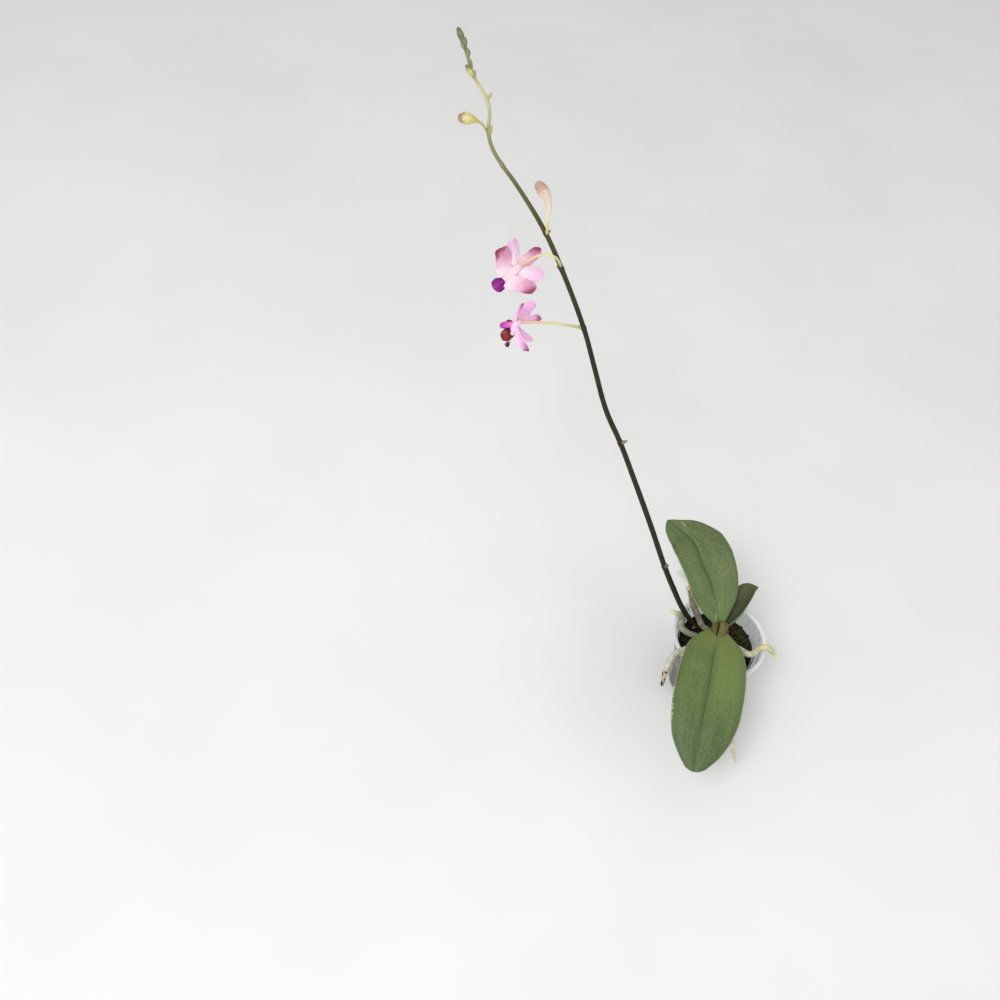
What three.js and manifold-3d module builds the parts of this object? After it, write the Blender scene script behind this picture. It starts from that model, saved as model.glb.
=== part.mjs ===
// A small moth orchid, Phalaenopsis pulcherrima, in a clear 6 cm nursery pot.
// Millimetres, +Z up. The origin is the centre of the pot's flat underside.
import * as THREE from "three";
import { mergeVertices } from "three/addons/utils/BufferGeometryUtils.js";
import Module from "manifold-3d";

const wasm = await Module();
wasm.setup();

// Driving dimensions of the pot
const POT_HEIGHT = 55;
const RIM_RADIUS = 31;
const RIM_DEPTH = 1.7;
const BASE_RADIUS = 21.8;
const WALL = 0.8;
const FLOOR = 1.6;
const LEDGE_RADIUS = 25.9; // where the tapered wall meets the collar
const LEDGE_Z = 45.5;
const COLLAR_RADIUS = 28.5;
const COLLAR_RIBS = 20;
const DRAIN_SLOTS = 6;
const POT_FACETS = 40;

// Driving dimensions of the growing medium
const GAP = 0.3; // clearance kept between pieces that touch
const SOIL_FACETS = 24;
const SOIL_Z = 44.6;
const SOIL_CROWN = 1.6; // the medium stands this much higher at its middle
const CHIPS = 34;
const CHIP_SPREAD = 21.5; // radius of the ring that the outermost chips lie on
const GOLDEN_ANGLE = Math.PI * (3 - Math.sqrt(5));

// Driving dimensions of the plant
const STEM_RADIUS = 4.8;
const LEAF_THICK = 1.7;
const LEAF_EDGE = 0.8;
const ROOT_RADIUS = 1.8;
const SPIKE_RADIUS = 1.75;
const SPIKE_FOOT = [-8, 6]; // x and y under the spike's first bend
const SPIKE_LEAN = THREE.MathUtils.degToRad(150); // heading of the spike's lean, from +X
const TEPAL_THICK = 0.7;

// Colours
const POT_CLEAR = 0xe4eaea;
const BARK_BROWN = 0x3a2a1e;
const SHEATH_TAN = 0x8f8152;
const LABEL_WHITE = 0xf2f2ee;
const LEAF_GREEN = 0x5f7a46;
const SIDE_LEAF_GREEN = 0x5a6b3c;
const ROOT_SILVER = 0xd9d6c4;
const SPIKE_GREEN = 0x4f5230;
const PEDICEL_CREAM = 0xdcd9a0;
const TEPAL_PINK = 0xe7b4da;
const LIP_PURPLE = 0x8a2a8c;
const LIP_RED = 0xa63c2c;
const COLUMN_MAGENTA = 0xd264c8;
const BUD_CREAM = 0xe3cdbb;

const vec = (p) => new THREE.Vector3(...p);
const curveThrough = (points) =>
  new THREE.CatmullRomCurve3(points.map(vec), false, "centripetal");

// Seeded random numbers, so that every build is alike
function seeded(seed) {
  let state = seed;
  return () => {
    state = (state * 1664525 + 1013904223) % 4294967296;
    return state / 4294967296;
  };
}

// Value at u, 0 to 1, of a list of equally spaced values
function along(values, u) {
  const place = THREE.MathUtils.clamp(u, 0, 1) * (values.length - 1);
  const index = Math.min(Math.floor(place), values.length - 2);
  return THREE.MathUtils.lerp(values[index], values[index + 1], place - index);
}

// Solids

function solidFrom(geometry) {
  const bare = new THREE.BufferGeometry();
  bare.setAttribute("position", geometry.getAttribute("position"));
  bare.setIndex(geometry.getIndex());
  const merged = mergeVertices(bare, 1e-3);
  return new wasm.Manifold(
    new wasm.Mesh({
      numProp: 3,
      vertProperties: new Float32Array(merged.attributes.position.array),
      triVerts: new Uint32Array(merged.index.array),
    }),
  );
}

const fuse = (solids) => solids.reduce((whole, next) => whole.add(next));
const cut = (solid, tools) =>
  tools.reduce((left, tool) => left.subtract(tool), solid);

// The largest body of a solid, without scraps that a cut leaves loose
function mainBody(solid) {
  const bodies = solid.decompose();
  return bodies.reduce((a, b) => (b.volume() > a.volume() ? b : a));
}

const plant = new THREE.Group();

function addPiece(name, solid, color, roughness = 0.6, extra = {}) {
  const mesh = solid.getMesh();
  const positions = new Float32Array(mesh.numVert * 3);
  for (let i = 0; i < mesh.numVert; i += 1)
    for (let k = 0; k < 3; k += 1)
      positions[3 * i + k] = mesh.vertProperties[mesh.numProp * i + k];
  const geometry = new THREE.BufferGeometry();
  geometry.setAttribute("position", new THREE.BufferAttribute(positions, 3));
  geometry.setIndex(new THREE.BufferAttribute(mesh.triVerts, 1));
  geometry.computeVertexNormals();
  const material = new THREE.MeshStandardMaterial({
    color,
    roughness,
    metalness: 0,
    ...extra,
  });
  const piece = new THREE.Mesh(geometry, material);
  piece.name = name;
  plant.add(piece);
}

// A round stalk along a curve, with a radius at each of equally spaced places
// and domed ends. grow widens and lengthens it all round, to cut its hole.
function stalk(points, radii, { sides = 8, steps = 12, grow = 0 } = {}) {
  const path = curveThrough(points);
  const frames = path.computeFrenetFrames(steps, false);
  const rings = [];
  const addRing = (centre, index, radius) =>
    rings.push({ centre, index, radius });
  const startRadius = radii[0] + grow;
  const endRadius = radii[radii.length - 1] + grow;
  const inward = frames.tangents[0].clone();
  const outward = frames.tangents[steps].clone();
  const first = path.getPointAt(0);
  const last = path.getPointAt(1);
  addRing(first.clone().addScaledVector(inward, -0.5 * startRadius), 0, 0.7 * startRadius);
  for (let i = 0; i <= steps; i += 1)
    addRing(path.getPointAt(i / steps), i, along(radii, i / steps) + grow);
  addRing(last.clone().addScaledVector(outward, 0.5 * endRadius), steps, 0.7 * endRadius);

  const positions = [];
  for (const { centre, index, radius } of rings)
    for (let k = 0; k < sides; k += 1) {
      const angle = (2 * Math.PI * k) / sides;
      const place = centre
        .clone()
        .addScaledVector(frames.normals[index], radius * Math.cos(angle))
        .addScaledVector(frames.binormals[index], radius * Math.sin(angle));
      positions.push(...place.toArray());
    }
  const startTip = positions.length / 3;
  positions.push(...first.addScaledVector(inward, -0.7 * startRadius).toArray());
  positions.push(...last.addScaledVector(outward, 0.7 * endRadius).toArray());
  const faces = [];
  for (let i = 0; i < rings.length - 1; i += 1)
    for (let k = 0; k < sides; k += 1) {
      const a = i * sides + k;
      const b = i * sides + ((k + 1) % sides);
      faces.push(a, b, b + sides, a, b + sides, a + sides);
    }
  const top = (rings.length - 1) * sides;
  for (let k = 0; k < sides; k += 1) {
    const next = (k + 1) % sides;
    faces.push(startTip, next, k);
    faces.push(startTip + 1, top + k, top + next);
  }
  return solidFrom(indexed(positions, faces));
}

function indexed(positions, faces) {
  const geometry = new THREE.BufferGeometry();
  geometry.setAttribute(
    "position",
    new THREE.Float32BufferAttribute(positions, 3),
  );
  geometry.setIndex(faces);
  return geometry;
}

// A blade such as a leaf or a petal. spine is its midrib from base to tip and
// face the side that its upper surface looks to. left and right are its half
// widths at equally spaced places, looking from base to tip with the face up.
// vee lifts the halves off the midrib and roll bends their margins back down.
function blade({
  spine,
  face,
  left,
  right = left,
  vee = 0,
  roll = 0,
  thick,
  edge = thick,
  rows = 12,
  half = 3,
}) {
  const path = curveThrough(spine);
  const across = 2 * half + 1;
  const top = [];
  const bottom = [];
  for (let i = 0; i <= rows; i += 1) {
    const u = i / rows;
    const centre = path.getPointAt(u);
    const ahead = path.getTangentAt(u);
    const side = ahead.clone().cross(vec(face)).normalize();
    const up = side.clone().cross(ahead).normalize();
    for (let j = -half; j <= half; j += 1) {
      const v = j / half;
      const width = along(j < 0 ? left : right, u);
      const rise = width * (vee * Math.abs(v) - roll * v * v);
      const depth = THREE.MathUtils.lerp(thick, edge, Math.abs(v)) / 2;
      const middle = centre.clone().addScaledVector(side, width * v);
      top.push(...middle.clone().addScaledVector(up, rise + depth).toArray());
      bottom.push(...middle.addScaledVector(up, rise - depth).toArray());
    }
  }
  const under = (rows + 1) * across;
  const faces = [];
  const quad = (a, b, c, d) => faces.push(a, b, c, a, c, d);
  for (let i = 0; i < rows; i += 1)
    for (let j = 0; j < across - 1; j += 1) {
      const a = i * across + j;
      const [b, c, d] = [a + 1, a + across + 1, a + across];
      quad(a, b, c, d);
      faces.push(under + a, under + c, under + b);
      faces.push(under + a, under + d, under + c);
    }
  for (let i = 0; i < rows; i += 1) {
    const l = i * across;
    const r = l + across - 1;
    quad(r, under + r, under + r + across, r + across);
    quad(l + across, under + l + across, under + l, l);
  }
  for (let j = 0; j < across - 1; j += 1) {
    const e = rows * across + j;
    quad(j, under + j, under + j + 1, j + 1);
    quad(e + 1, under + e + 1, under + e, e);
  }
  return solidFrom(indexed([...top, ...bottom], faces));
}

// A turned solid from a closed profile of radius and height
function turned(profile, facets) {
  const points = profile.map(([radius, z]) => new THREE.Vector2(radius, z));
  const geometry = new THREE.LatheGeometry(points, facets);
  return geometry.rotateX(Math.PI / 2);
}

// Pot: one thin moulding with a tapered wall, a ledge, a ribbed collar and a
// flat rim. The slots round the foot leave its middle whole.
const wallRadius = (z) =>
  THREE.MathUtils.mapLinear(z, 0.8, LEDGE_Z, BASE_RADIUS, LEDGE_RADIUS);
const COLLAR_Z = LEDGE_Z + 1;
const RIM_Z = POT_HEIGHT - RIM_DEPTH;

function buildPot() {
  const shell = solidFrom(
    turned(
      [
        [0, 0],
        [BASE_RADIUS - 0.8, 0],
        [BASE_RADIUS, 0.8],
        [LEDGE_RADIUS, LEDGE_Z],
        [COLLAR_RADIUS, COLLAR_Z],
        [COLLAR_RADIUS + 0.6, RIM_Z],
        [RIM_RADIUS, RIM_Z + 0.2],
        [RIM_RADIUS, POT_HEIGHT - 0.4],
        [RIM_RADIUS - 0.4, POT_HEIGHT],
        [COLLAR_RADIUS + 0.2, POT_HEIGHT],
        [COLLAR_RADIUS - 0.2, POT_HEIGHT - 0.6],
        [COLLAR_RADIUS - WALL, COLLAR_Z + WALL],
        [LEDGE_RADIUS - WALL, LEDGE_Z + WALL],
        [wallRadius(FLOOR) - WALL, FLOOR],
        [0, FLOOR],
      ],
      POT_FACETS,
    ),
  );
  const ribs = [];
  for (let k = 0; k < COLLAR_RIBS; k += 1) {
    const rib = new THREE.BoxGeometry(1.2, 0.9, RIM_Z - COLLAR_Z - 1.4);
    rib.translate(COLLAR_RADIUS - 0.9, 0, (RIM_Z + COLLAR_Z) / 2 + 0.6);
    ribs.push(solidFrom(rib.rotateZ((2 * Math.PI * (k + 0.5)) / COLLAR_RIBS)));
  }
  const slots = [];
  for (let k = 0; k < DRAIN_SLOTS; k += 1) {
    const slot = new THREE.BoxGeometry(6, 3.4, 8);
    slot.translate(BASE_RADIUS - 3.4, 0, 0);
    slots.push(solidFrom(slot.rotateZ((2 * Math.PI * k) / DRAIN_SLOTS)));
  }
  return cut(fuse([shell, ...ribs]), slots);
}

// Stem: the short upright axis, wrapped in the dry sheaths of its leaves
const stemPoints = [
  [0.6, 2.6, 33],
  [0, 2, 46],
  [-1.6, 1.2, 57],
  [-2.6, 0.2, 63.2],
];
const stemRadii = [3.6, STEM_RADIUS, STEM_RADIUS + 0.4, STEM_RADIUS - 1];

const sheaths = [
  { foot: [-3.2, 2.6, 55], tip: [-5.6, 5.4, 64.6], face: [0.7, -0.7, 0] },
  { foot: [1.2, 2.6, 55], tip: [1.6, 4.6, 64.8], face: [-0.7, -0.7, 0] },
];

function buildStem(grow) {
  const axis = stalk(stemPoints, stemRadii, { sides: 12, steps: 8, grow });
  const wraps = sheaths.map(({ foot, tip, face }) =>
    blade({
      spine: [foot, foot.map((c, k) => (c + tip[k]) / 2), tip],
      face,
      left: [4, 4, 3.2, 0.7].map((width) => width + grow),
      vee: 0.35,
      thick: 1.2 + 2 * grow,
      edge: 0.7 + 2 * grow,
      rows: 4,
      half: 2,
    }),
  );
  return fuse([axis, ...wraps]);
}
const stemHole = buildStem(GAP);

// Leaves: thick and strap-shaped with a sunk midrib
const leaves = {
  leaf_front: {
    spine: [
      [-2.9, -1.6, 63.4],
      [-4.6, -8.5, 65.2],
      [-8.1, -24.2, 66.4],
      [-11.9, -48.8, 64.4],
      [-14.8, -66.3, 60.4],
      [-17, -84.5, 54],
      [-17.9, -94.6, 49.4],
    ],
    face: [0, 0, 1],
    left: [6.3, 15.6, 19.8, 21.7, 22.6, 22.9, 22.8, 22.4, 20.7, 17.6, 12.2, 2],
    right: [5.5, 12.4, 16.9, 18.8, 19.9, 20.5, 20.4, 19.7, 18.3, 15.8, 10.4, 1.6],
    vee: 0.2,
    roll: 0.22,
  },
  leaf_back: {
    spine: [
      [-2.2, 2.2, 65.2],
      [-5.2, 8, 70.4],
      [-11.2, 21.1, 80],
      [-18.5, 30.4, 88],
      [-24.9, 41.7, 93.6],
      [-31, 50, 96.8],
      [-41.6, 56.2, 98],
    ],
    face: [0.25, -0.45, 0.85],
    left: [3.2, 9, 14.4, 16.3, 16.3, 15.6, 15.2, 15.4, 15.2, 12.6, 4],
    right: [3, 10, 15.5, 19, 22, 23.4, 23.2, 20.6, 14.6, 6.8, 1],
    vee: 0.3,
    roll: 0.22,
  },
  leaf_side: {
    spine: [
      [2.6, 3.4, 60.4],
      [8.6, 9, 62.4],
      [13.6, 15.6, 65.4],
      [17.6, 23, 68.4],
      [20, 28.2, 70],
      [22.8, 32, 71],
    ],
    face: [-0.69, 0.12, 0.72],
    left: [2.2, 3.4, 5, 6.3, 7.2, 6.6, 1.4],
    right: [2.2, 3.2, 4.4, 5.2, 5.4, 4.6, 0.8],
    vee: 1,
    roll: 0.1,
  },
};

// Aerial roots: silvery, each from the foot of the stem. taper gives the radius at
// equally spaced places along the root, as shares of the usual radius.
const roots = {
  root_left_curl: {
    points: [
      [-2.5, 1.6, 49.6],
      [-9, -0.2, 50.4],
      [-16.7, 0.3, 52],
      [-21.4, 0.7, 53.4],
      [-25.5, 2.9, 55.5],
      [-26.1, 5.7, 60.5],
      [-29.4, 6, 65],
      [-35, 6.4, 66.4],
    ],
    taper: [0.89, 0.94, 1.06, 1.11, 1.17, 1.11, 0.89, 0.61],
  },
  root_left_rim: {
    points: [
      [-2, -0.5, 48],
      [-12, -8, 51.4],
      [-19, -12.2, 55],
      [-24.7, -16.2, 57.8],
      [-30, -20.3, 59.4],
      [-33.8, -25.9, 59.2],
      [-36.1, -32.1, 56.6],
      [-37, -39, 50],
    ],
    taper: [0.89, 1, 1.11, 1.17, 1.11, 1.06, 0.94, 0.67],
  },
  root_right_rim: {
    points: [
      [1.5, 0, 49],
      [6.5, -5, 53.4],
      [11.7, -8.7, 56.8],
      [15.6, -12.6, 58.6],
      [19, -13.4, 59.8],
      [22.6, -10.6, 61.6],
      [27.4, -8.6, 62.6],
      [33.4, -9.3, 59],
      [36.8, -11.8, 54.8],
    ],
    taper: [0.83, 0.94, 1.06, 1.11, 1.17, 1.06, 1.06, 1, 0.61],
  },
  root_front: {
    points: [
      [0.5, -1.5, 47],
      [2, -14, 51.5],
      [3.5, -28, 59.4],
      [4.8, -42, 60],
      [5.6, -56, 55],
      [7, -66, 47.6],
      [11, -69.2, 35],
      [14.9, -69.2, 24],
      [16.9, -69, 18.4],
    ],
    taper: [0.67, 0.83, 0.83, 0.78, 0.78, 0.72, 0.72, 0.72, 0.44],
  },
  root_back: {
    points: [
      [-1.5, 4.6, 48.6],
      [-5.4, 7, 49.6],
      [-9.9, 8.8, 50.6],
      [-13.5, 12.8, 54.2],
      [-18, 21.6, 57.6],
      [-19.8, 27.4, 60],
      [-22.3, 31, 61.4],
    ],
    taper: [0.83, 1, 1.11, 1.17, 1.22, 1.11, 0.78],
  },
};

// Label: a blank strip of thin white plastic, bent over to the left
const labelShape = {
  spine: [
    [6.4, 15.6, 30],
    [5, 18, 43],
    [1.4, 21.6, 53.4],
    [-8.6, 26.8, 63.4],
    [-19.4, 29.7, 71.8],
    [-30.2, 32.3, 80.2],
  ],
  face: [0.16, 0.95, -0.28],
  left: [1, 5, 6, 6, 6, 6, 6],
  thick: 0.8,
  rows: 12,
  half: 1,
};

// Flower spike: places on it are a reach along its lean and a height
const leanHeading = vec([Math.cos(SPIKE_LEAN), Math.sin(SPIKE_LEAN), 0]);
function onSpike(reach, z) {
  return [
    SPIKE_FOOT[0] + leanHeading.x * reach,
    SPIKE_FOOT[1] + leanHeading.y * reach,
    z,
  ];
}
const spikePoints = [
  [-3.2, 3.6, 41],
  onSpike(2, 44.4),
  onSpike(8, 49.2),
  [-20.2, 12, 53.7],
  [-26.1, 15.4, 60],
  onSpike(28.7, 69.2),
  onSpike(40.8, 86.7),
  onSpike(56.8, 113.1),
  onSpike(76.3, 144),
  onSpike(92.1, 167.9),
  onSpike(106.3, 186.9),
  onSpike(118.7, 211.2),
  onSpike(130.5, 234.6),
  onSpike(147.2, 260.4),
  onSpike(165.4, 283.9),
  onSpike(185.8, 302.1),
  onSpike(196, 309.3),
  onSpike(202.5, 315.3),
  onSpike(206.2, 322.8),
  onSpike(206.8, 335.4),
  onSpike(209.4, 341.2),
  onSpike(218.1, 349.6),
  onSpike(221.9, 356.3),
  onSpike(225.4, 363),
];
const spikeTaper = [0.91, 1.03, 1, 0.97, 0.91, 0.86, 0.8, 0.77, 0.66, 0.54, 0.46];
const spikeRadii = spikeTaper.map((share) => share * SPIKE_RADIUS);

// Scale leaves on the spike: where each sits, where it points and how long it is
const bracts = [
  { at: onSpike(7.4, 48.4), point: [-0.5, -0.8, 0.5], length: 5, wide: 1.1 },
  { at: onSpike(40.8, 86.7), point: [0.3, -0.3, 0.8], length: 4.6, wide: 1.6 },
  { at: onSpike(92.1, 167.9), point: [0.75, -0.1, 0.7], length: 5 },
  { at: onSpike(131, 235.5), point: [-0.8, 0, 0.3], length: 3.4 },
  { at: onSpike(151, 265.6), point: [-0.8, 0, 0.4], length: 3.4 },
  { at: onSpike(164.2, 282.3), point: [0.7, 0, 0.6], length: 3.4 },
  { at: onSpike(196, 309.3), point: [-0.3, -0.2, 0.4], length: 3.2 },
  { at: onSpike(206.2, 322.8), point: [0.3, 0, 0.9], length: 5 },
  { at: onSpike(209, 340.6), point: [0.5, 0, 0.8], length: 5.4 },
  { at: onSpike(218.1, 349.6), point: [0.2, 0, 0.9], length: 3 },
];
// Unopened buds and scales crowded at the tip
const tipScales = [
  { at: onSpike(219.6, 353), point: [-0.5, 0.2, 1], length: 6, wide: 1.5 },
  { at: onSpike(222.6, 358), point: [0, 0, 1], length: 5.5, wide: 1.4 },
  { at: onSpike(223.6, 360.4), point: [-0.75, 0.3, 1], length: 7.6, wide: 1.6 },
  { at: onSpike(225, 363), point: [-0.55, 0.2, 1], length: 7.6, wide: 1.7 },
];

function scaleLeaf({ at, point, length, wide = 1.3, grow = 0 }) {
  const heading = vec(point).normalize();
  const place = (k) => vec(at).addScaledVector(heading, k * length).toArray();
  return stalk(
    [place(0), place(0.4), place(0.75), place(1)],
    [0.7 * wide, wide, 0.8 * wide, 0.3 * wide],
    { sides: 5, steps: 2, grow },
  );
}

// Flowers: centre, facing and upward directions. Each tepal has its azimuth
// round the facing axis, how far it bends back and turns on itself, its
// length and its width. The lip drops from the facing axis by an angle.
const flowers = {
  upper: {
    centre: [-162.6, 82, 262],
    facing: [-0.441, 0.284, -0.851],
    upward: [0.504, 0.863, 0.027],
    sepals: [
      { azimuth: 90, reflex: 29, twist: 0, length: 17, width: 6.4 },
      { azimuth: -29, reflex: 25, twist: -30, length: 17.4, width: 8.6 },
      { azimuth: -151, reflex: 19, twist: 30, length: 17, width: 7.6 },
    ],
    petals: [
      { azimuth: 21, reflex: 25, twist: -15, length: 16.2, width: 6.6 },
      { azimuth: 164, reflex: 32, twist: 30, length: 16.2, width: 8.8 },
    ],
    lip: { drop: 47, foot: 9, reach: 16.8, tongue: 3.6, lobe: 2.4 },
    pedicel: [
      onSpike(151, 266.2),
      [-142.1, 82, 271.6],
      [-145.6, 82, 273.2],
      [-149.9, 82, 272.9],
      [-154.5, 82, 270.5],
      [-158.5, 82, 266.8],
      [-161.3, 81.8, 264],
    ],
  },
  lower: {
    centre: [-159.1, 66, 237.4],
    facing: [-0.972, 0.074, -0.225],
    upward: [-0.131, 0.625, 0.769],
    sepals: [
      { azimuth: 90, reflex: 44, twist: -50, length: 16, width: 6 },
      { azimuth: -74, reflex: 27, twist: -30, length: 16.8, width: 7.4 },
      { azimuth: -128, reflex: 30, twist: 0, length: 15, width: 6.4 },
    ],
    petals: [
      { azimuth: 41, reflex: 19, twist: 8, length: 15.4, width: 5.6 },
      { azimuth: 167, reflex: 47, twist: 55, length: 15.4, width: 6 },
    ],
    lip: { drop: 70, foot: 4, reach: 12.4, tongue: 2, lobe: 3.3 },
    pedicel: [
      onSpike(131, 235.6),
      [-128.7, 70.8, 236.4],
      [-136.7, 69.4, 237.6],
      [-145.1, 68, 238.1],
      [-152.3, 67, 238.2],
      [-157, 66.4, 238],
    ],
  },
};

function flowerFrame({ centre, facing, upward }) {
  const forward = vec(facing).normalize();
  const side = vec(upward).cross(forward).normalize();
  const up = forward.clone().cross(side);
  const frame = new THREE.Matrix4().makeBasis(side, up, forward);
  frame.setPosition(vec(centre));
  return frame;
}

// A point of the flower's own frame, across, up and forward, in the part's frame
const inFlower = (frame, p) => vec(p).applyMatrix4(frame).toArray();
const directionIn = (frame, p) => vec(p).transformDirection(frame).toArray();
const radians = THREE.MathUtils.degToRad;
const SEPAL_SHAPE = [0.74, 0.86, 0.94, 1, 0.98, 0.9, 0.72, 0.28];
const PETAL_SHAPE = [0.36, 0.62, 0.84, 0.98, 1, 0.96, 0.78, 0.3];

// start is where a tepal's midrib begins, in the flower's own frame
function tepal(frame, { azimuth, reflex, twist, length, width }, start, shape, grow) {
  const turn = radians(azimuth);
  const heading = new THREE.Vector3(
    Math.cos(turn) * Math.cos(radians(reflex)),
    Math.sin(turn) * Math.cos(radians(reflex)),
    -Math.sin(radians(reflex)),
  );
  const face = new THREE.Vector3(0, 0, 1).applyAxisAngle(heading, radians(twist));
  const tip = heading.clone().multiplyScalar(length);
  const place = (k, lift) =>
    inFlower(frame, vec(start).lerp(tip, k).addScaledVector(face, lift).toArray());
  return blade({
    spine: [place(0.04, 0.2), place(0.35, 0.9), place(0.7, 0.8), place(1, 0)],
    face: directionIn(frame, face.toArray()),
    left: shape.map((k) => (k * width) / 2),
    vee: 0.16,
    roll: -0.12,
    thick: TEPAL_THICK + 2 * grow,
    rows: 5,
    half: 2,
  });
}

// Three sepals and two petals joined at the throat, thicker all round by grow.
// The lateral sepals, which come after the dorsal one, spring from the chin.
function buildBloom({ sepals, petals, lip }, frame, grow = 0) {
  const middle = [0, 0, 0];
  const chin = inLip(lip, [0.5 * lip.foot, 0, -0.3]);
  const [dorsal, ...laterals] = sepals;
  return fuse([
    throat(frame, lip, grow),
    tepal(frame, dorsal, middle, SEPAL_SHAPE, grow),
    ...laterals.map((sepal) => tepal(frame, sepal, chin, SEPAL_SHAPE, grow)),
    ...petals.map((petal) => tepal(frame, petal, middle, PETAL_SHAPE, grow)),
  ]);
}

// A point of the lip: along its axis, across it and towards the column
function inLip({ drop }, [ahead, across, rise]) {
  const [sine, cosine] = [Math.sin(radians(drop)), Math.cos(radians(drop))];
  return [across, rise * cosine - ahead * sine, ahead * cosine + rise * sine];
}

// The flower's throat and the hollow chin under it, which carries the lip
function throat(frame, lip, grow) {
  const at = (points) => points.map((p) => inFlower(frame, p));
  return fuse([
    stalk(at([[0, 0.4, -1.6], [0, 0, 0.2], [0, -0.4, 1]]), [1.5, 2, 1.5], {
      steps: 3,
      grow,
    }),
    stalk(
      at([
        [0, -0.2, -0.6],
        inLip(lip, [0.5 * lip.foot, 0, -0.4]),
        inLip(lip, [lip.foot, 0, 0]),
      ]),
      [2, 2.1, 1.2],
      { steps: 4, grow },
    ),
  ]);
}

// Lip: two erect side lobes and a tongue-shaped middle lobe on a short claw
function buildLip(frame, lip) {
  const at = (points) => points.map((p) => inFlower(frame, inLip(lip, p)));
  const across = directionIn(frame, [1, 0, 0]);
  const rise = directionIn(frame, inLip(lip, [0, 0, 1]));
  const start = lip.foot + 0.8;
  const span = lip.reach - start;
  const claw = stalk(
    at([[start, 0, 0], [start + 0.25 * span, 0, 0.2], [start + 0.5 * span, 0, 0]]),
    [1, 1.4, 0.9],
    { steps: 3 },
  );
  const tongue = blade({
    spine: at([
      [start + 0.1 * span, 0, 0],
      [start + 0.4 * span, 0, 0.3],
      [start + 0.75 * span, 0, 0.1],
      [lip.reach, 0, -0.8],
    ]),
    face: rise,
    left: [0.4, 0.85, 1, 0.85, 0.55, 0.14].map((k) => k * lip.tongue),
    vee: 0.3,
    roll: 0.1,
    thick: 1.1,
    edge: TEPAL_THICK,
    rows: 5,
    half: 2,
  });
  const sideLobes = [-1, 1].map((hand) =>
    blade({
      spine: at([
        [start + 0.2 * span, hand * 0.8, 0.4],
        [start + 0.34 * span, hand * 2.1, 0.5 * lip.lobe + 0.4],
        [start + 0.42 * span, hand * 2.6, 1.9 * lip.lobe],
      ]),
      face: across.map((c) => -hand * c),
      left: [0.5, 0.9, 1, 0.8, 0.3].map((k) => k * lip.lobe),
      vee: 0.1,
      thick: TEPAL_THICK,
      rows: 3,
      half: 2,
    }),
  );
  return fuse([claw, tongue, ...sideLobes]);
}

// Column: the short fused stamen and style, with a rounded cap
function column(frame) {
  const points = [
    [0, 0, 3.2],
    [0, 0.3, 4.6],
    [0, 0.1, 6.4],
    [0, -0.5, 8],
  ].map((p) => inFlower(frame, p));
  return stalk(points, [1.1, 1.3, 1.5, 1.1], { steps: 4 });
}

// Buds: a stalk whose swollen head fuses with it
const buds = {
  bud_upper: {
    points: [
      onSpike(163.2, 281.2),
      [-149.8, 87, 287],
      [-150.2, 86.5, 294],
      [-150.3, 86.5, 299.6],
      [-151.9, 86.5, 304.6],
      [-154.8, 86.5, 309],
      [-157.2, 86.5, 311.6],
    ],
    radii: [0.8, 0.8, 0.9, 1.3, 2.3, 3.2, 2.7],
  },
  bud_left: {
    points: [
      onSpike(206.2, 322.8),
      [-190, 107.4, 328.6],
      [-193.4, 106, 331],
      [-197.6, 106, 331.6],
      [-201, 106, 331.3],
    ],
    radii: [0.7, 0.8, 1.4, 2.4, 2.3],
  },
  bud_small: {
    points: [
      onSpike(217.6, 349.2),
      [-197.9, 113, 351.6],
      [-199.4, 113, 353.4],
      [-200.6, 113, 355.2],
    ],
    radii: [0.6, 1.1, 1.3, 0.8],
  },
};

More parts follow.
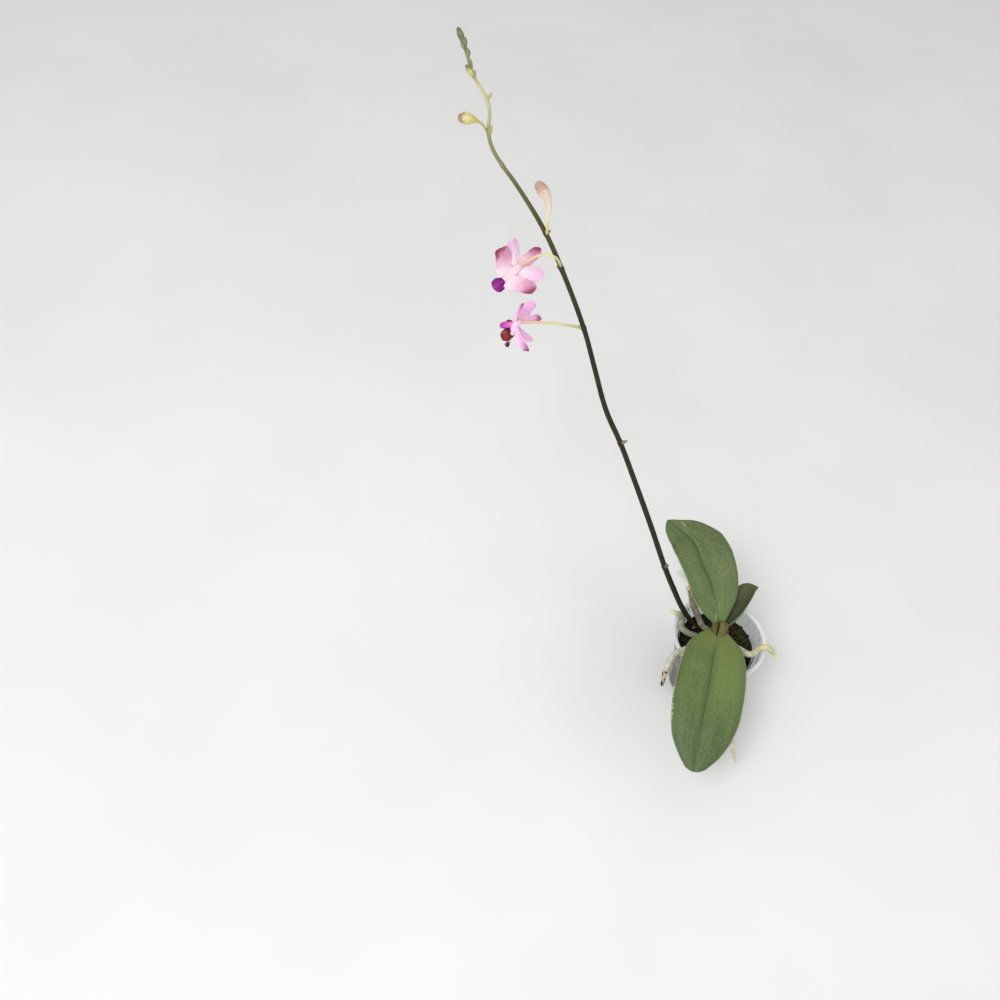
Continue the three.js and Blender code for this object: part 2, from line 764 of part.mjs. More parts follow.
// Growing medium: fine bark that fills the pot to its ledge, with chips of
// coarser bark lying half sunk in its top
function buildMedium(holes) {
  const edge = (z) => wallRadius(z) - WALL - GAP;
  const ringCount = 5;
  const topRings = [];
  for (let k = 0; k <= ringCount; k += 1) {
    const share = 1 - k / ringCount;
    topRings.push([
      edge(SOIL_Z) * share,
      SOIL_Z + SOIL_CROWN * (1 - share * share),
    ]);
  }
  const bottom = FLOOR + GAP;
  const body = turned([[0, bottom], [edge(bottom), bottom], ...topRings], SOIL_FACETS);
  const places = body.getAttribute("position");
  for (let i = 0; i < places.count; i += 1) {
    const [x, y, z] = [places.getX(i), places.getY(i), places.getZ(i)];
    if (z > SOIL_Z + 0.01)
      places.setZ(i, z + 0.7 * Math.sin(0.9 * x + 1) * Math.cos(0.8 * y));
  }
  const random = seeded(11);
  const chips = [];
  for (let k = 0; k < CHIPS; k += 1) {
    const length = 3.4 + 5 * random();
    const width = 2.2 + 2.6 * random();
    const thick = 1.2 + 1.4 * random();
    const chip = new THREE.BoxGeometry(length, width, thick);
    const corners = chip.getAttribute("position");
    for (let i = 0; i < corners.count; i += 1)
      if (corners.getX(i) > 0) corners.setY(i, corners.getY(i) * 0.7);
    chip.rotateX(0.5 * (random() - 0.5));
    chip.rotateY(0.6 * (random() - 0.5));
    chip.rotateZ(2 * Math.PI * random());
    const radius = CHIP_SPREAD * Math.sqrt((k + 0.5) / CHIPS);
    const angle = k * GOLDEN_ANGLE + 0.4 * random();
    const crown = SOIL_CROWN * (1 - (radius / edge(SOIL_Z)) ** 2);
    const height = SOIL_Z + crown + 0.2 * thick;
    chip.translate(
      radius * Math.cos(angle),
      radius * Math.sin(angle),
      height + 0.5 * random(),
    );
    chips.push(solidFrom(chip));
  }
  const inside = solidFrom(
    turned(
      [
        [0, bottom],
        [edge(bottom), bottom],
        [edge(LEDGE_Z), LEDGE_Z],
        [edge(LEDGE_Z), LEDGE_Z + 6],
        [0, LEDGE_Z + 6],
      ],
      SOIL_FACETS,
    ),
  );
  return mainBody(
    cut(fuse([solidFrom(body), ...chips]).intersect(inside), holes),
  );
}

// Assembly. What stands in the medium leaves its own hole there, and what
// meets the stem stops short of it by the gap.
addPiece("pot", buildPot(), POT_CLEAR, 0.1, { transparent: true, opacity: 0.3 });
addPiece("stem", buildStem(0), SHEATH_TAN, 0.7);

for (const [name, leaf] of Object.entries(leaves)) {
  const shape = { ...leaf, thick: LEAF_THICK, edge: LEAF_EDGE };
  const color = name === "leaf_side" ? SIDE_LEAF_GREEN : LEAF_GREEN;
  addPiece(name, mainBody(cut(blade(shape), [stemHole])), color, 0.45);
}

const rootHoles = [];
for (const [name, { points, taper }] of Object.entries(roots)) {
  const steps = 2 * points.length;
  const radii = taper.map((share) => share * ROOT_RADIUS);
  const root = stalk(points, radii, { steps });
  addPiece(name, mainBody(cut(root, [stemHole])), ROOT_SILVER, 0.7);
  rootHoles.push(stalk(points, radii, { steps, grow: GAP }));
}

const spikeSteps = 2 * spikePoints.length;
const spikeAxis = stalk(spikePoints, spikeRadii, { sides: 7, steps: spikeSteps });
const spike = fuse([spikeAxis, ...[...bracts, ...tipScales].map(scaleLeaf)]);
addPiece("flower_spike", mainBody(cut(spike, [stemHole])), SPIKE_GREEN, 0.5);
const spikeHole = stalk(spikePoints, spikeRadii, {
  sides: 7,
  steps: spikeSteps,
  grow: GAP,
});
const bractHoles = bracts.map((bract) => scaleLeaf({ ...bract, grow: GAP }));
const spikeCuts = [spikeHole, ...bractHoles];

const pedicelRadii = [0.75, 0.75, 0.8, 0.9, 1];
for (const [which, flower] of Object.entries(flowers)) {
  const frame = flowerFrame(flower);
  const pedicel = stalk(flower.pedicel, pedicelRadii, { steps: 10 });
  const pedicelHole = stalk(flower.pedicel, pedicelRadii, { steps: 10, grow: GAP });
  const bloom = cut(buildBloom(flower, frame), [pedicelHole]);
  addPiece(`flower_${which}_tepals`, mainBody(bloom), TEPAL_PINK, 0.55);
  const pedicelBody = mainBody(cut(pedicel, spikeCuts));
  addPiece(`flower_${which}_pedicel`, pedicelBody, PEDICEL_CREAM, 0.5);
  const lip = cut(buildLip(frame, flower.lip), [buildBloom(flower, frame, GAP)]);
  const lipColor = which === "upper" ? LIP_PURPLE : LIP_RED;
  addPiece(`flower_${which}_lip`, mainBody(lip), lipColor, 0.5);
  addPiece(`flower_${which}_column`, column(frame), COLUMN_MAGENTA, 0.5);
}

for (const [name, { points, radii }] of Object.entries(buds)) {
  const bud = stalk(points, radii, { steps: 10 });
  addPiece(name, mainBody(cut(bud, spikeCuts)), BUD_CREAM, 0.5);
}

addPiece("label", blade(labelShape), LABEL_WHITE, 0.4);
const labelHole = blade({
  ...labelShape,
  left: labelShape.left.map((width) => width + GAP),
  thick: labelShape.thick + 2 * GAP,
});
const medium = buildMedium([stemHole, spikeHole, labelHole, ...rootHoles]);
addPiece("growing_medium", medium, BARK_BROWN, 0.95);

export default plant;
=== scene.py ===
import math
import random

import bmesh
import bpy
import numpy as np
from mathutils import Matrix, Quaternion, Vector, noise


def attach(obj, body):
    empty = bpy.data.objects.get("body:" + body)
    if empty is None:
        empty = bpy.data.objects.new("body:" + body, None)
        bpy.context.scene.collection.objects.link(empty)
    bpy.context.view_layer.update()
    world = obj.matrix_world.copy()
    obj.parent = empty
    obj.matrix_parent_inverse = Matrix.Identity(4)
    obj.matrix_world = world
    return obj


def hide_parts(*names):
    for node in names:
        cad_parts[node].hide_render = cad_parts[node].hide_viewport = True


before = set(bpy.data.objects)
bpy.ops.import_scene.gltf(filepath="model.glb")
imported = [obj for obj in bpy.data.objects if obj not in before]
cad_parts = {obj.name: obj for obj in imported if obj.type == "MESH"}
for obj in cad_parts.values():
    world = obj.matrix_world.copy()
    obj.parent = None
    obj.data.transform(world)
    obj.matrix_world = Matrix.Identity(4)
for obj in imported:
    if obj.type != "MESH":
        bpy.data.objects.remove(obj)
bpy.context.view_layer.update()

# The pot: a thin round nursery pot, injection moulded in clear plastic. Its
# wall tapers, a ribbed collar stands over a ledge, and the rim is flat. Slots
# round the foot let water out.
MM = 0.001  # sizes are in millimetres and the scene is in metres
POT_HEIGHT = 55
RIM_RADIUS = 31
RIM_Z = 53.3
BASE_RADIUS = 21.8
WALL = 0.8
FLOOR_THICK = 1.6
FOOT_BEVEL = 0.8
RIM_BEVEL = 0.4
CORNER_CUT = 0.22
LEDGE_RADIUS = 25.9
LEDGE_Z = 45.5
COLLAR_RADIUS = 28.5
COLLAR_Z = 46.5
COLLAR_RIBS = 20
RIB_RADIUS = 0.48
RIB_HEIGHT = 5.4
DRAIN_SLOTS = 6
SLOT_HALF = (3, 1.7, 4)  # half of a slot's length, width and height
POT_FACETS = 128


def tint(red, green, blue):
    """A colour as a screen shows it, 0 to 255, as the renderer's own values."""
    channels = [c / 255 for c in (red, green, blue)]
    return (*[c / 12.92 if c < 0.04 else ((c + 0.055) / 1.055) ** 2.4 for c in channels], 1)


def put(tree, kind, inputs=(), **settings):
    """A new shader node, with its inputs linked to sockets or set to values."""
    made = tree.nodes.new(kind)
    for name, value in settings.items():
        setattr(made, name, value)
    for name, value in dict(inputs).items():
        if isinstance(value, bpy.types.NodeSocket):
            tree.links.new(value, made.inputs[name])
        else:
            made.inputs[name].default_value = value
    return made


def calc(tree, operation, *values, clamp=False):
    """A sum worked out by a maths node from sockets or plain numbers."""
    inputs = dict(enumerate(values))
    return put(tree, "ShaderNodeMath", inputs, operation=operation, use_clamp=clamp).outputs[0]


def fade(tree, value, start, end):
    """0 where the value is at start, 1 where it is at end, smooth between."""
    inputs = {"Value": value, "From Min": start, "From Max": end}
    return put(tree, "ShaderNodeMapRange", inputs, interpolation_type="SMOOTHSTEP").outputs[0]


def spread(tree, value, low, high):
    """Stretches a value between 0 and 1 to lie between low and high."""
    return put(tree, "ShaderNodeMapRange", {"Value": value, "To Min": low, "To Max": high}).outputs[0]


def mixed(tree, share, first, second):
    """The first colour where the share is 0, the second where it is 1."""
    inputs = {0: share, 6: first, 7: second}
    return put(tree, "ShaderNodeMix", inputs, data_type="RGBA").outputs[2]


def effect(name, inputs, outputs):
    """A new shader node group. Its inputs are given with their first values."""
    group = bpy.data.node_groups.new(name, "ShaderNodeTree")
    for socket, value in inputs.items():
        kind = "Float" if isinstance(value, (int, float)) else "Color" if len(value) == 4 else "Vector"
        made = group.interface.new_socket(socket, in_out="INPUT", socket_type=f"NodeSocket{kind}")
        made.default_value = value
    for socket, kind in outputs.items():
        group.interface.new_socket(socket, in_out="OUTPUT", socket_type=f"NodeSocket{kind}")
    given = group.nodes.new("NodeGroupInput").outputs
    return group, given, group.nodes.new("NodeGroupOutput").inputs


def use(tree, group, **values):
    """Places an effect in a material with its own values, and gives its outputs."""
    inputs = {name.replace("_", " "): value for name, value in values.items()}
    return put(tree, "ShaderNodeGroup", inputs, node_tree=group).outputs


def start_material(name, **values):
    """A material, its node tree, its main shader and the object's own places."""
    made = bpy.data.materials.new(name)
    made.use_nodes = True
    tree = made.node_tree
    shader = tree.nodes["Principled BSDF"]
    for socket, value in values.items():
        shader.inputs[socket.replace("_", " ")].default_value = value
    place = put(tree, "ShaderNodeTexCoord").outputs["Object"]
    return made, tree, shader, place


def finish(tree, shader, color, roughness, height, depth_mm):
    """Links a finish's colour, its roughness and its relief to the shader."""
    tree.links.new(color, shader.inputs["Base Color"])
    tree.links.new(roughness, shader.inputs["Roughness"])
    bump = put(tree, "ShaderNodeBump", {"Height": height, "Distance": depth_mm * MM})
    tree.links.new(bump.outputs[0], shader.inputs["Normal"])


# Mottling: soft clouds that blend two colours. Scale counts features in a
# metre, and a low Stretch makes them long in that direction.
mottling, given, out = effect(
    "mottling",
    {
        "Place": (0, 0, 0),
        "Stretch": (1, 1, 1),
        "Scale": 100,
        "Detail": 3,
        "Sharpness": 0.3,
        "First": (0, 0, 0, 1),
        "Second": (1, 1, 1, 1),
    },
    {"Color": "Color", "Mask": "Float", "Height": "Float"},
)
moved = put(mottling, "ShaderNodeMapping", {"Vector": given["Place"], "Scale": given["Stretch"]})
clouds = put(
    mottling,
    "ShaderNodeTexNoise",
    {"Vector": moved.outputs[0], "Scale": given["Scale"], "Detail": given["Detail"], "Roughness": 0.6},
).outputs[0]
reach = calc(mottling, "MULTIPLY_ADD", given["Sharpness"], -0.25, 0.26)
mask = fade(mottling, clouds, calc(mottling, "SUBTRACT", 0.5, reach), calc(mottling, "ADD", 0.5, reach))
mottling.links.new(mixed(mottling, mask, given["First"], given["Second"]), out["Color"])
mottling.links.new(mask, out["Mask"])
mottling.links.new(clouds, out["Height"])


def build(name, form, materials, nodes=()):
    """Makes a form, in millimetres, into a piece that rides on the plant's body."""
    mesh = bpy.data.meshes.new(name)
    mesh.from_pydata([[c * MM for c in p] for p in form["points"]], [], form["faces"])
    if form.get("corners"):
        layer = mesh.uv_layers.new(name="UVMap")
        layer.data.foreach_set("uv", np.array(form["corners"], float).ravel())
    for made in materials:
        mesh.materials.append(made)
    if form.get("sides"):
        mesh.polygons.foreach_set("material_index", form["sides"])
    mesh.polygons.foreach_set("use_smooth", [True] * len(mesh.polygons))
    mesh.update()
    piece = bpy.data.objects.new(name, mesh)
    bpy.context.scene.collection.objects.link(piece)
    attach(piece, "root")
    if nodes:
        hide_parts(*nodes)
    return piece


def turned(profile, facets):
    """A form turned from radius and height pairs, from axis to axis."""
    points = [(0, 0, profile[0][1])]
    for radius, z in profile[1:-1]:
        for k in range(facets):
            angle = 2 * math.pi * k / facets
            points.append((radius * math.cos(angle), radius * math.sin(angle), z))
    points.append((0, 0, profile[-1][1]))
    faces = []
    last = len(points) - 1
    top = last - facets
    for k in range(facets):
        after = (k + 1) % facets
        faces += [(0, 1 + after, 1 + k), (last, top + k, top + after)]
        for low in range(1, top, facets):
            high = low + facets
            faces.append((low + k, low + after, high + after, high + k))
    return {"points": points, "faces": faces}


def swung(form, shift, angle):
    """A form shifted from the pot's axis and then turned round it."""
    turn = Matrix.Rotation(angle, 3, "Z")
    points = [tuple(turn @ (Vector(p) + Vector(shift))) for p in form["points"]]
    return {**form, "points": points}


def join(forms):
    """Several forms as one, each still a closed skin of its own."""
    whole = {"points": [], "faces": [], "corners": [], "sides": []}
    for form in forms:
        start = len(whole["points"])
        whole["points"] += list(form["points"])
        whole["faces"] += [tuple(start + k for k in face) for face in form["faces"]]
        whole["corners"] += form.get("corners", [])
        whole["sides"] += form.get("sides", [])
    return whole


def carve(piece, form, operation):
    """Joins a form to a piece or cuts it away, and applies that to its mesh."""
    mesh = bpy.data.meshes.new("cutter")
    mesh.from_pydata([[c * MM for c in p] for p in form["points"]], [], form["faces"])
    cutter = bpy.data.objects.new("cutter", mesh)
    bpy.context.scene.collection.objects.link(cutter)
    modifier = piece.modifiers.new("carve", "BOOLEAN")
    modifier.operation = operation
    modifier.solver = "EXACT"
    modifier.object = cutter
    evaluated = piece.evaluated_get(bpy.context.evaluated_depsgraph_get())
    carved = bpy.data.meshes.new_from_object(evaluated)
    piece.modifiers.remove(modifier)
    piece.data = carved
    bpy.data.objects.remove(cutter)


def wall_radius(z):
    """The wall's outer radius at a height between its foot and the ledge."""
    return BASE_RADIUS + (LEDGE_RADIUS - BASE_RADIUS) * (z - FOOT_BEVEL) / (LEDGE_Z - FOOT_BEVEL)


def softened(profile):
    """The profile with its corners cut, so that its edges catch the light."""
    soft = [profile[0]]
    for before, corner, after in zip(profile, profile[1:], profile[2:]):
        for other in (before, after):
            away = Vector(other) - Vector(corner)
            soft.append(tuple(Vector(corner) + away.normalized() * min(CORNER_CUT, away.length / 3)))
    return soft + [profile[-1]]


pot_profile = [
    (0, 0),
    (BASE_RADIUS - FOOT_BEVEL, 0),
    (BASE_RADIUS, FOOT_BEVEL),
    (LEDGE_RADIUS, LEDGE_Z),
    (COLLAR_RADIUS, COLLAR_Z),
    (COLLAR_RADIUS + 0.6, RIM_Z),
    (RIM_RADIUS, RIM_Z + 0.2),
    (RIM_RADIUS, POT_HEIGHT - RIM_BEVEL),
    (RIM_RADIUS - RIM_BEVEL, POT_HEIGHT),
    (COLLAR_RADIUS + 0.2, POT_HEIGHT),
    (COLLAR_RADIUS - 0.2, POT_HEIGHT - 0.6),
    (COLLAR_RADIUS - WALL, COLLAR_Z + WALL),
    (LEDGE_RADIUS - WALL, LEDGE_Z + WALL),
    (wall_radius(FLOOR_THICK) - WALL, FLOOR_THICK),
    (0, FLOOR_THICK),
]
rib_profile = [
    (0, 0),
    (0.3, 0),
    (RIB_RADIUS, 0.3),
    (RIB_RADIUS, RIB_HEIGHT - 0.5),
    (0.3, RIB_HEIGHT),
    (0, RIB_HEIGHT),
]
rib = turned(rib_profile, 12)
rib_place = (COLLAR_RADIUS - 0.62, 0, COLLAR_Z + 1.1)
ribs = [swung(rib, rib_place, 2 * math.pi * (k + 0.5) / COLLAR_RIBS) for k in range(COLLAR_RIBS)]
half_x, half_y, half_z = SLOT_HALF
drain_slot = {
    "points": [(x, y, z) for x in (-half_x, half_x) for y in (-half_y, half_y) for z in (-half_z, half_z)],
    "faces": [(0, 1, 3, 2), (4, 6, 7, 5), (0, 4, 5, 1), (2, 3, 7, 6), (0, 2, 6, 4), (1, 5, 7, 3)],
}
slot_place = (BASE_RADIUS - 3.4, 0, 0)
slots = [swung(drain_slot, slot_place, 2 * math.pi * k / DRAIN_SLOTS) for k in range(DRAIN_SLOTS)]


def plastic(name, clearness, bright, dull):
    """Moulded plastic, scuffed by handling, with faint flow lines."""
    made, tree, shader, place = start_material(
        name, IOR=1.38, Transmission_Weight=clearness, Specular_IOR_Level=0.5
    )
    scuffs = use(
        tree, mottling, Place=place, Stretch=(1, 1, 0.3), Scale=90, Detail=6, Sharpness=0.4,
        First=bright, Second=dull,
    )
    flow = use(tree, mottling, Place=place, Stretch=(1, 1, 0.06), Scale=240, Detail=2)
    finish(tree, shader, scuffs["Color"], spread(tree, scuffs["Mask"], 0.04, 0.2), flow["Height"], 0.05)
    return made


# The thin wall is clear, and the thick rim looks milky
clear = plastic("clear plastic", 0.97, tint(216, 220, 218), tint(190, 195, 193))
milky = plastic("milky rim", 0.3, tint(252, 253, 252), tint(242, 244, 243))
pot = build("pot_clear", turned(softened(pot_profile), POT_FACETS), [clear, milky], ["pot"])
carve(pot, join(ribs), "UNION")
carve(pot, join(slots), "DIFFERENCE")
pot.data.set_sharp_from_angle(angle=math.radians(50))
for face in pot.data.polygons:
    face.material_index = int(face.center.z > (RIM_Z + 0.1) * MM)

# Growing medium: composted bark. The pot is packed with damp dark fines, and
# broken chips of reddish bark lie half sunk in its top and against its wall.
SOIL_Z = 44.6
SOIL_CROWN = 1.6
CLEARANCE = 0.3  # what the medium and the wall keep between them
SOIL_SIDES = 180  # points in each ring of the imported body
FLOOR_RINGS = 12
SIDE_RINGS = 64
TOP_RINGS = 48
CHIPS = 260
CHIP_SPREAD = 22.6
FINES = 1100
FINE_SPREAD = 24
GOLDEN_ANGLE = math.pi * (3 - math.sqrt(5))


def soil_edge(z):
    """The medium's radius at a height, just inside the wall."""
    return wall_radius(z) - WALL - CLEARANCE


def soil_top(x, y):
    """The height of the medium's top, a low uneven mound."""
    share = math.hypot(x, y) / soil_edge(SOIL_Z)
    swell = 0.7 * math.sin(0.9 * x + 1) * math.cos(0.8 * y)
    return SOIL_Z + SOIL_CROWN * (1 - share * share) + swell * min(1, 4 * (1 - share))


def packed_body():
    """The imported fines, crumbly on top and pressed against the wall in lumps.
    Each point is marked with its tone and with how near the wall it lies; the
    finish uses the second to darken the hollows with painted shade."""
    low = FLOOR_THICK + CLEARANCE
    rings = [(soil_edge(low) * k / FLOOR_RINGS, low, "floor") for k in range(FLOOR_RINGS)]
    for k in range(SIDE_RINGS):
        z = low + (SOIL_Z - 0.4 - low) * k / (SIDE_RINGS - 1)
        rings.append((soil_edge(z), z, "side"))
    rings += [(soil_edge(SOIL_Z) * (1 - k / TOP_RINGS), None, "top") for k in range(1, TOP_RINGS)]
    points, marks = [], []
    for radius, z, part in rings:
        for k in range(SOIL_SIDES):
            mark = (0.3, 0)
            angle = 2 * math.pi * k / SOIL_SIDES
            x, y = radius * math.cos(angle), radius * math.sin(angle)
            if part == "top":
                crumb = noise.fractal(Vector((x, y, 0)) * 0.9, 0.7, 2.1, 4)
                points.append((x, y, soil_top(x, y) + 0.9 * crumb))
            elif part == "side":
                gaps, cells = noise.voronoi(Vector((x, y, 1.4 * z)) * 0.3)
                lumps = noise.noise(Vector((x, y, z)) * 1.1)
                hollow = min(1.6, 3.2 * max(0, 0.42 - (gaps[1] - gaps[0])) + 0.4 * max(0, lumps))
                scale = 1 - min(hollow, 0.4 * (z - low), 0.4 * (SOIL_Z - z)) / radius
                points.append((x * scale, y * scale, z))
                mark = (0.5 + 0.5 * noise.noise(cells[0] * 7.7), 1 - 0.3 * hollow)
            else:
                points.append((x, y, z))
            marks.append(mark)
    faces = []
    top = (len(rings) - 1) * SOIL_SIDES
    for start in range(0, top, SOIL_SIDES):
        for k in range(SOIL_SIDES):
            a, b = start + k, start + (k + 1) % SOIL_SIDES
            faces.append((a, b, b + SOIL_SIDES, a + SOIL_SIDES))
    faces.append(tuple(top + k for k in range(SOIL_SIDES)))
    return {"points": points, "faces": faces, "corners": [marks[k] for face in faces for k in face]}


def lump(size, place, turn, roughen, seed, divisions, shade):
    """A broken chip or crumb: a squarish ball with grooves along its length."""
    made = bmesh.new()
    bmesh.ops.create_icosphere(made, subdivisions=divisions, radius=1)
    points = []
    for vertex in made.verts:
        square = Vector([math.copysign(abs(c) ** 0.5, c) for c in vertex.co])
        shift = Vector((seed * 7.3, seed * 3.1, seed * 1.7))
        grooves = noise.noise(Vector((0.5 * square.x, 2.6 * square.y, 2.6 * square.z)) + shift)
        broken = noise.noise(1.1 * square + 2 * shift)
        square *= 1 + roughen * (0.5 * grooves + 0.7 * broken)
        local = Vector([c * s / 2 for c, s in zip(square, size)])
        points.append(tuple(turn @ local + Vector(place)))
    faces = [tuple(v.index for v in face.verts) for face in made.faces]
    made.free()
    return {"points": points, "faces": faces, "corners": [(shade, 0)] * (3 * len(faces))}


def tumbled(draw, lean):
    """A random way for a chip to lie, tipped by up to lean."""
    return (
        Matrix.Rotation(2 * math.pi * draw.random(), 3, "Z")
        @ Matrix.Rotation(draw.uniform(-lean, lean), 3, "Y")
        @ Matrix.Rotation(draw.uniform(-lean, lean), 3, "X")
    )


draw = random.Random(11)
bark = [packed_body()]
for k in range(CHIPS):
    radius = CHIP_SPREAD * math.sqrt((k + 0.5) / CHIPS)
    angle = k * GOLDEN_ANGLE + 0.5 * draw.random()
    x, y = radius * math.cos(angle), radius * math.sin(angle)
    length = draw.uniform(1.8, 5.6) * (1 if draw.random() < 0.6 else 0.6)
    size = (length, length * draw.uniform(0.35, 0.7), draw.uniform(0.8, 1.8))
    place = (x, y, soil_top(x, y) + draw.uniform(-0.2, 1.1))
    bark.append(lump(size, place, tumbled(draw, 0.5), 0.7, k, 3, draw.random()))
for k in range(FINES):
    radius = FINE_SPREAD * math.sqrt((k + 0.5) / FINES)
    angle = k * GOLDEN_ANGLE + 1.7 + 0.6 * draw.random()
    x, y = radius * math.cos(angle), radius * math.sin(angle)
    length = draw.uniform(0.7, 2)
    size = (length, length * draw.uniform(0.5, 0.9), length * draw.uniform(0.4, 0.8))
    place = (x, y, soil_top(x, y) + draw.uniform(0.1, 0.8))
    bark.append(lump(size, place, tumbled(draw, 0.3), 0.4, k, 1, draw.random()))


def surface_map(tree):
    """A piece's own map: how far along it, and how far across or round it."""
    return put(tree, "ShaderNodeUVMap", uv_map="UVMap").outputs[0]


def axes(tree, vector):
    """The three numbers that a vector holds, apart."""
    return put(tree, "ShaderNodeSeparateXYZ", {0: vector}).outputs


def over(tree, color, mask, strength, second):
    """A second colour laid over the first where the mask is, at a strength."""
    return mixed(tree, calc(tree, "MULTIPLY", mask, strength), color, second)


# Bark: near black where damp, red-brown on broken faces, with a fibrous grain,
# and lighter where the chips dry against the wall, with painted shade in the
# hollows between them
bark_finish, tree, shader, place = start_material("damp bark", Specular_IOR_Level=0.35)
shade, against = axes(tree, surface_map(tree))[:2]
fibre = use(tree, mottling, Place=place, Scale=800, Detail=7, Sharpness=0.3)
patches = use(tree, mottling, Place=place, Scale=150, Detail=4, Sharpness=0.5)
redness = calc(tree, "MULTIPLY_ADD", patches["Mask"], 0.5, shade)
color = mixed(tree, fade(tree, redness, 0.6, 1.4), tint(17, 14, 9), tint(66, 44, 25))
color = over(tree, color, fade(tree, shade, 0.93, 0.98), 0.7, tint(118, 90, 58))
chip = mixed(tree, fade(tree, shade, 0.3, 0.75), tint(84, 56, 34), tint(158, 118, 78))
# Painted shade: the chips against the wall go dark in the hollows between them
chip = mixed(tree, fade(tree, against, 0.92, 0.6), chip, tint(30, 22, 14))
color = mixed(tree, fade(tree, against, 0.2, 0.4), color, chip)
color = over(tree, color, fibre["Mask"], 0.6, tint(12, 9, 6))
finish(tree, shader, color, spread(tree, patches["Mask"], 0.9, 0.42), fibre["Height"], 0.4)

build("growing_medium_bark", join(bark), [bark_finish], ["growing_medium"])

# Moss: low tufts of tiny pointed leaves that have spread over the bark on the
# right-hand side of the pot, with a few strands near the left wall.
MOSS_TUFTS = [
    (13.5, 11.5, 170),
    (17.5, 7.5, 170),
    (16.5, 15, 120),
    (20.5, 2.5, 110),
    (14, 3.5, 90),
    (10.5, 17.5, 90),
    (19.5, -5.5, 90),
    (-19.5, -3.5, 40),
    (-14, 12, 30),
]  # the middle of each tuft and how many leaves it has
TUFT_SPREAD = 2
MOSS_REACH = 22.6  # moss stays inside this radius


def moss_leaf(foot, heading, length, width):
    """One tiny leaf, pointed at both ends and closed underneath."""
    side = heading.cross(Vector((0, 0, 1))).normalized() * width
    up = side.cross(heading).normalized() * 0.12
    middle = foot + heading * length * 0.5
    points = [foot, middle - side, middle - up, middle + side, foot + heading * length, middle + 2 * up]
    faces = [(0, 1, 5), (0, 5, 3), (1, 4, 5), (5, 4, 3), (0, 2, 1), (0, 3, 2), (1, 2, 4), (2, 3, 4)]
    corners = [({0: 0.0, 4: 1.0}.get(k, 0.5), 0.5) for face in faces for k in face]
    return {"points": [tuple(p) for p in points], "faces": faces, "corners": corners}


draw = random.Random(5)
tufts = []
for x, y, count in MOSS_TUFTS:
    for k in range(count):
        at_x, at_y = x + draw.gauss(0, TUFT_SPREAD), y + draw.gauss(0, TUFT_SPREAD)
        foot = Vector((at_x, at_y, soil_top(at_x, at_y) + draw.uniform(0.3, 1.2)))
        angle = 2 * math.pi * draw.random()
        heading = Vector((math.cos(angle), math.sin(angle), draw.uniform(0.3, 1.6))).normalized()
        if math.hypot(at_x, at_y) < MOSS_REACH:
            tufts.append(moss_leaf(foot, heading, draw.uniform(0.7, 1.6), draw.uniform(0.12, 0.22)))
moss_green, tree, shader, place = start_material("moss", Specular_IOR_Level=0.3)
tones = use(tree, mottling, Place=place, Scale=300, First=tint(48, 50, 18), Second=tint(92, 96, 42))
length = axes(tree, surface_map(tree))[0]
color = mixed(tree, fade(tree, length, 0.6, 1.0), tones["Color"], tint(140, 134, 62))
finish(tree, shader, color, spread(tree, tones["Mask"], 0.7, 0.9), tones["Height"], 0.05)
build("moss_tufts", join(tufts), [moss_green])

# The stem: a short upright axis hidden in the feet of old leaves. The youngest
# sheath folds over the crown, is tan and papery, and leaves a slit where its
# margins meet, darkened with painted shade.
STEM_RADIUS = 4.8
SLIT_TURN = 0.72  # how far the slit starts left of the hood's ridge
SLIT_LEAN = 0.5  # how far it has come back to the ridge at its end
stem_points = [(0.6, 2.6, 33), (0, 2, 46), (-1.6, 1.2, 57), (-2.6, 0.2, 63.2)]
stem_radii = [3.6, STEM_RADIUS, STEM_RADIUS + 0.4, STEM_RADIUS - 1]
CURVE_STEPS = 40  # places worked out between two points of a curve


def unit(v):
    """The vector with a length of 1."""
    return v / np.linalg.norm(v)


def curve_through(points):
    """A smooth curve through points, as a function of the share of its length."""
    p = np.array(points, float)
    p = np.vstack([2 * p[0] - p[1], p, 2 * p[-1] - p[-2]])
    dense = []
    t = np.arange(CURVE_STEPS)[:, None] / CURVE_STEPS
    for a, b, c, d in zip(p, p[1:], p[2:], p[3:]):
        before, here, after = [np.linalg.norm(v) ** 0.5 for v in (b - a, c - b, d - c)]
        leave = ((b - a) / before - (c - a) / (before + here) + (c - b) / here) * here
        arrive = ((c - b) / here - (d - b) / (here + after) + (d - c) / after) * here
        dense.append(
            (2 * t**3 - 3 * t**2 + 1) * b
            + (t**3 - 2 * t**2 + t) * leave
            + (3 * t**2 - 2 * t**3) * c
            + (t**3 - t**2) * arrive
        )
    dense = np.vstack([*dense, p[-2:-1]])
    lengths = np.r_[0, np.cumsum(np.linalg.norm(np.diff(dense, axis=0), axis=1))]

    def place_at(share):
        reach = np.clip(share, 0, 1) * lengths[-1]
        return np.array([np.interp(reach, lengths, dense[:, k]) for k in range(3)])

    return place_at


def heading_at(path, share):
    """The way in which a path runs at a share of its length."""
    return unit(path(min(share + 0.004, 1)) - path(max(share - 0.004, 0)))


def along(values, share):
    """The smooth value at a share of the way through equally spaced values."""
    v = [2 * values[0] - values[1], *values, 2 * values[-1] - values[-2]]
    reach = min(max(share, 0), 1) * (len(values) - 1)
    i = min(int(reach), len(values) - 2)
    t = reach - i
    a, b, c, d = v[i : i + 4]
    bend = (1 - t) * (2 * b - a - c) + t * (2 * c - b - d)
    return max(b + (c - b) * t + 0.5 * t * (1 - t) * bend, 0.2 * min(b, c))


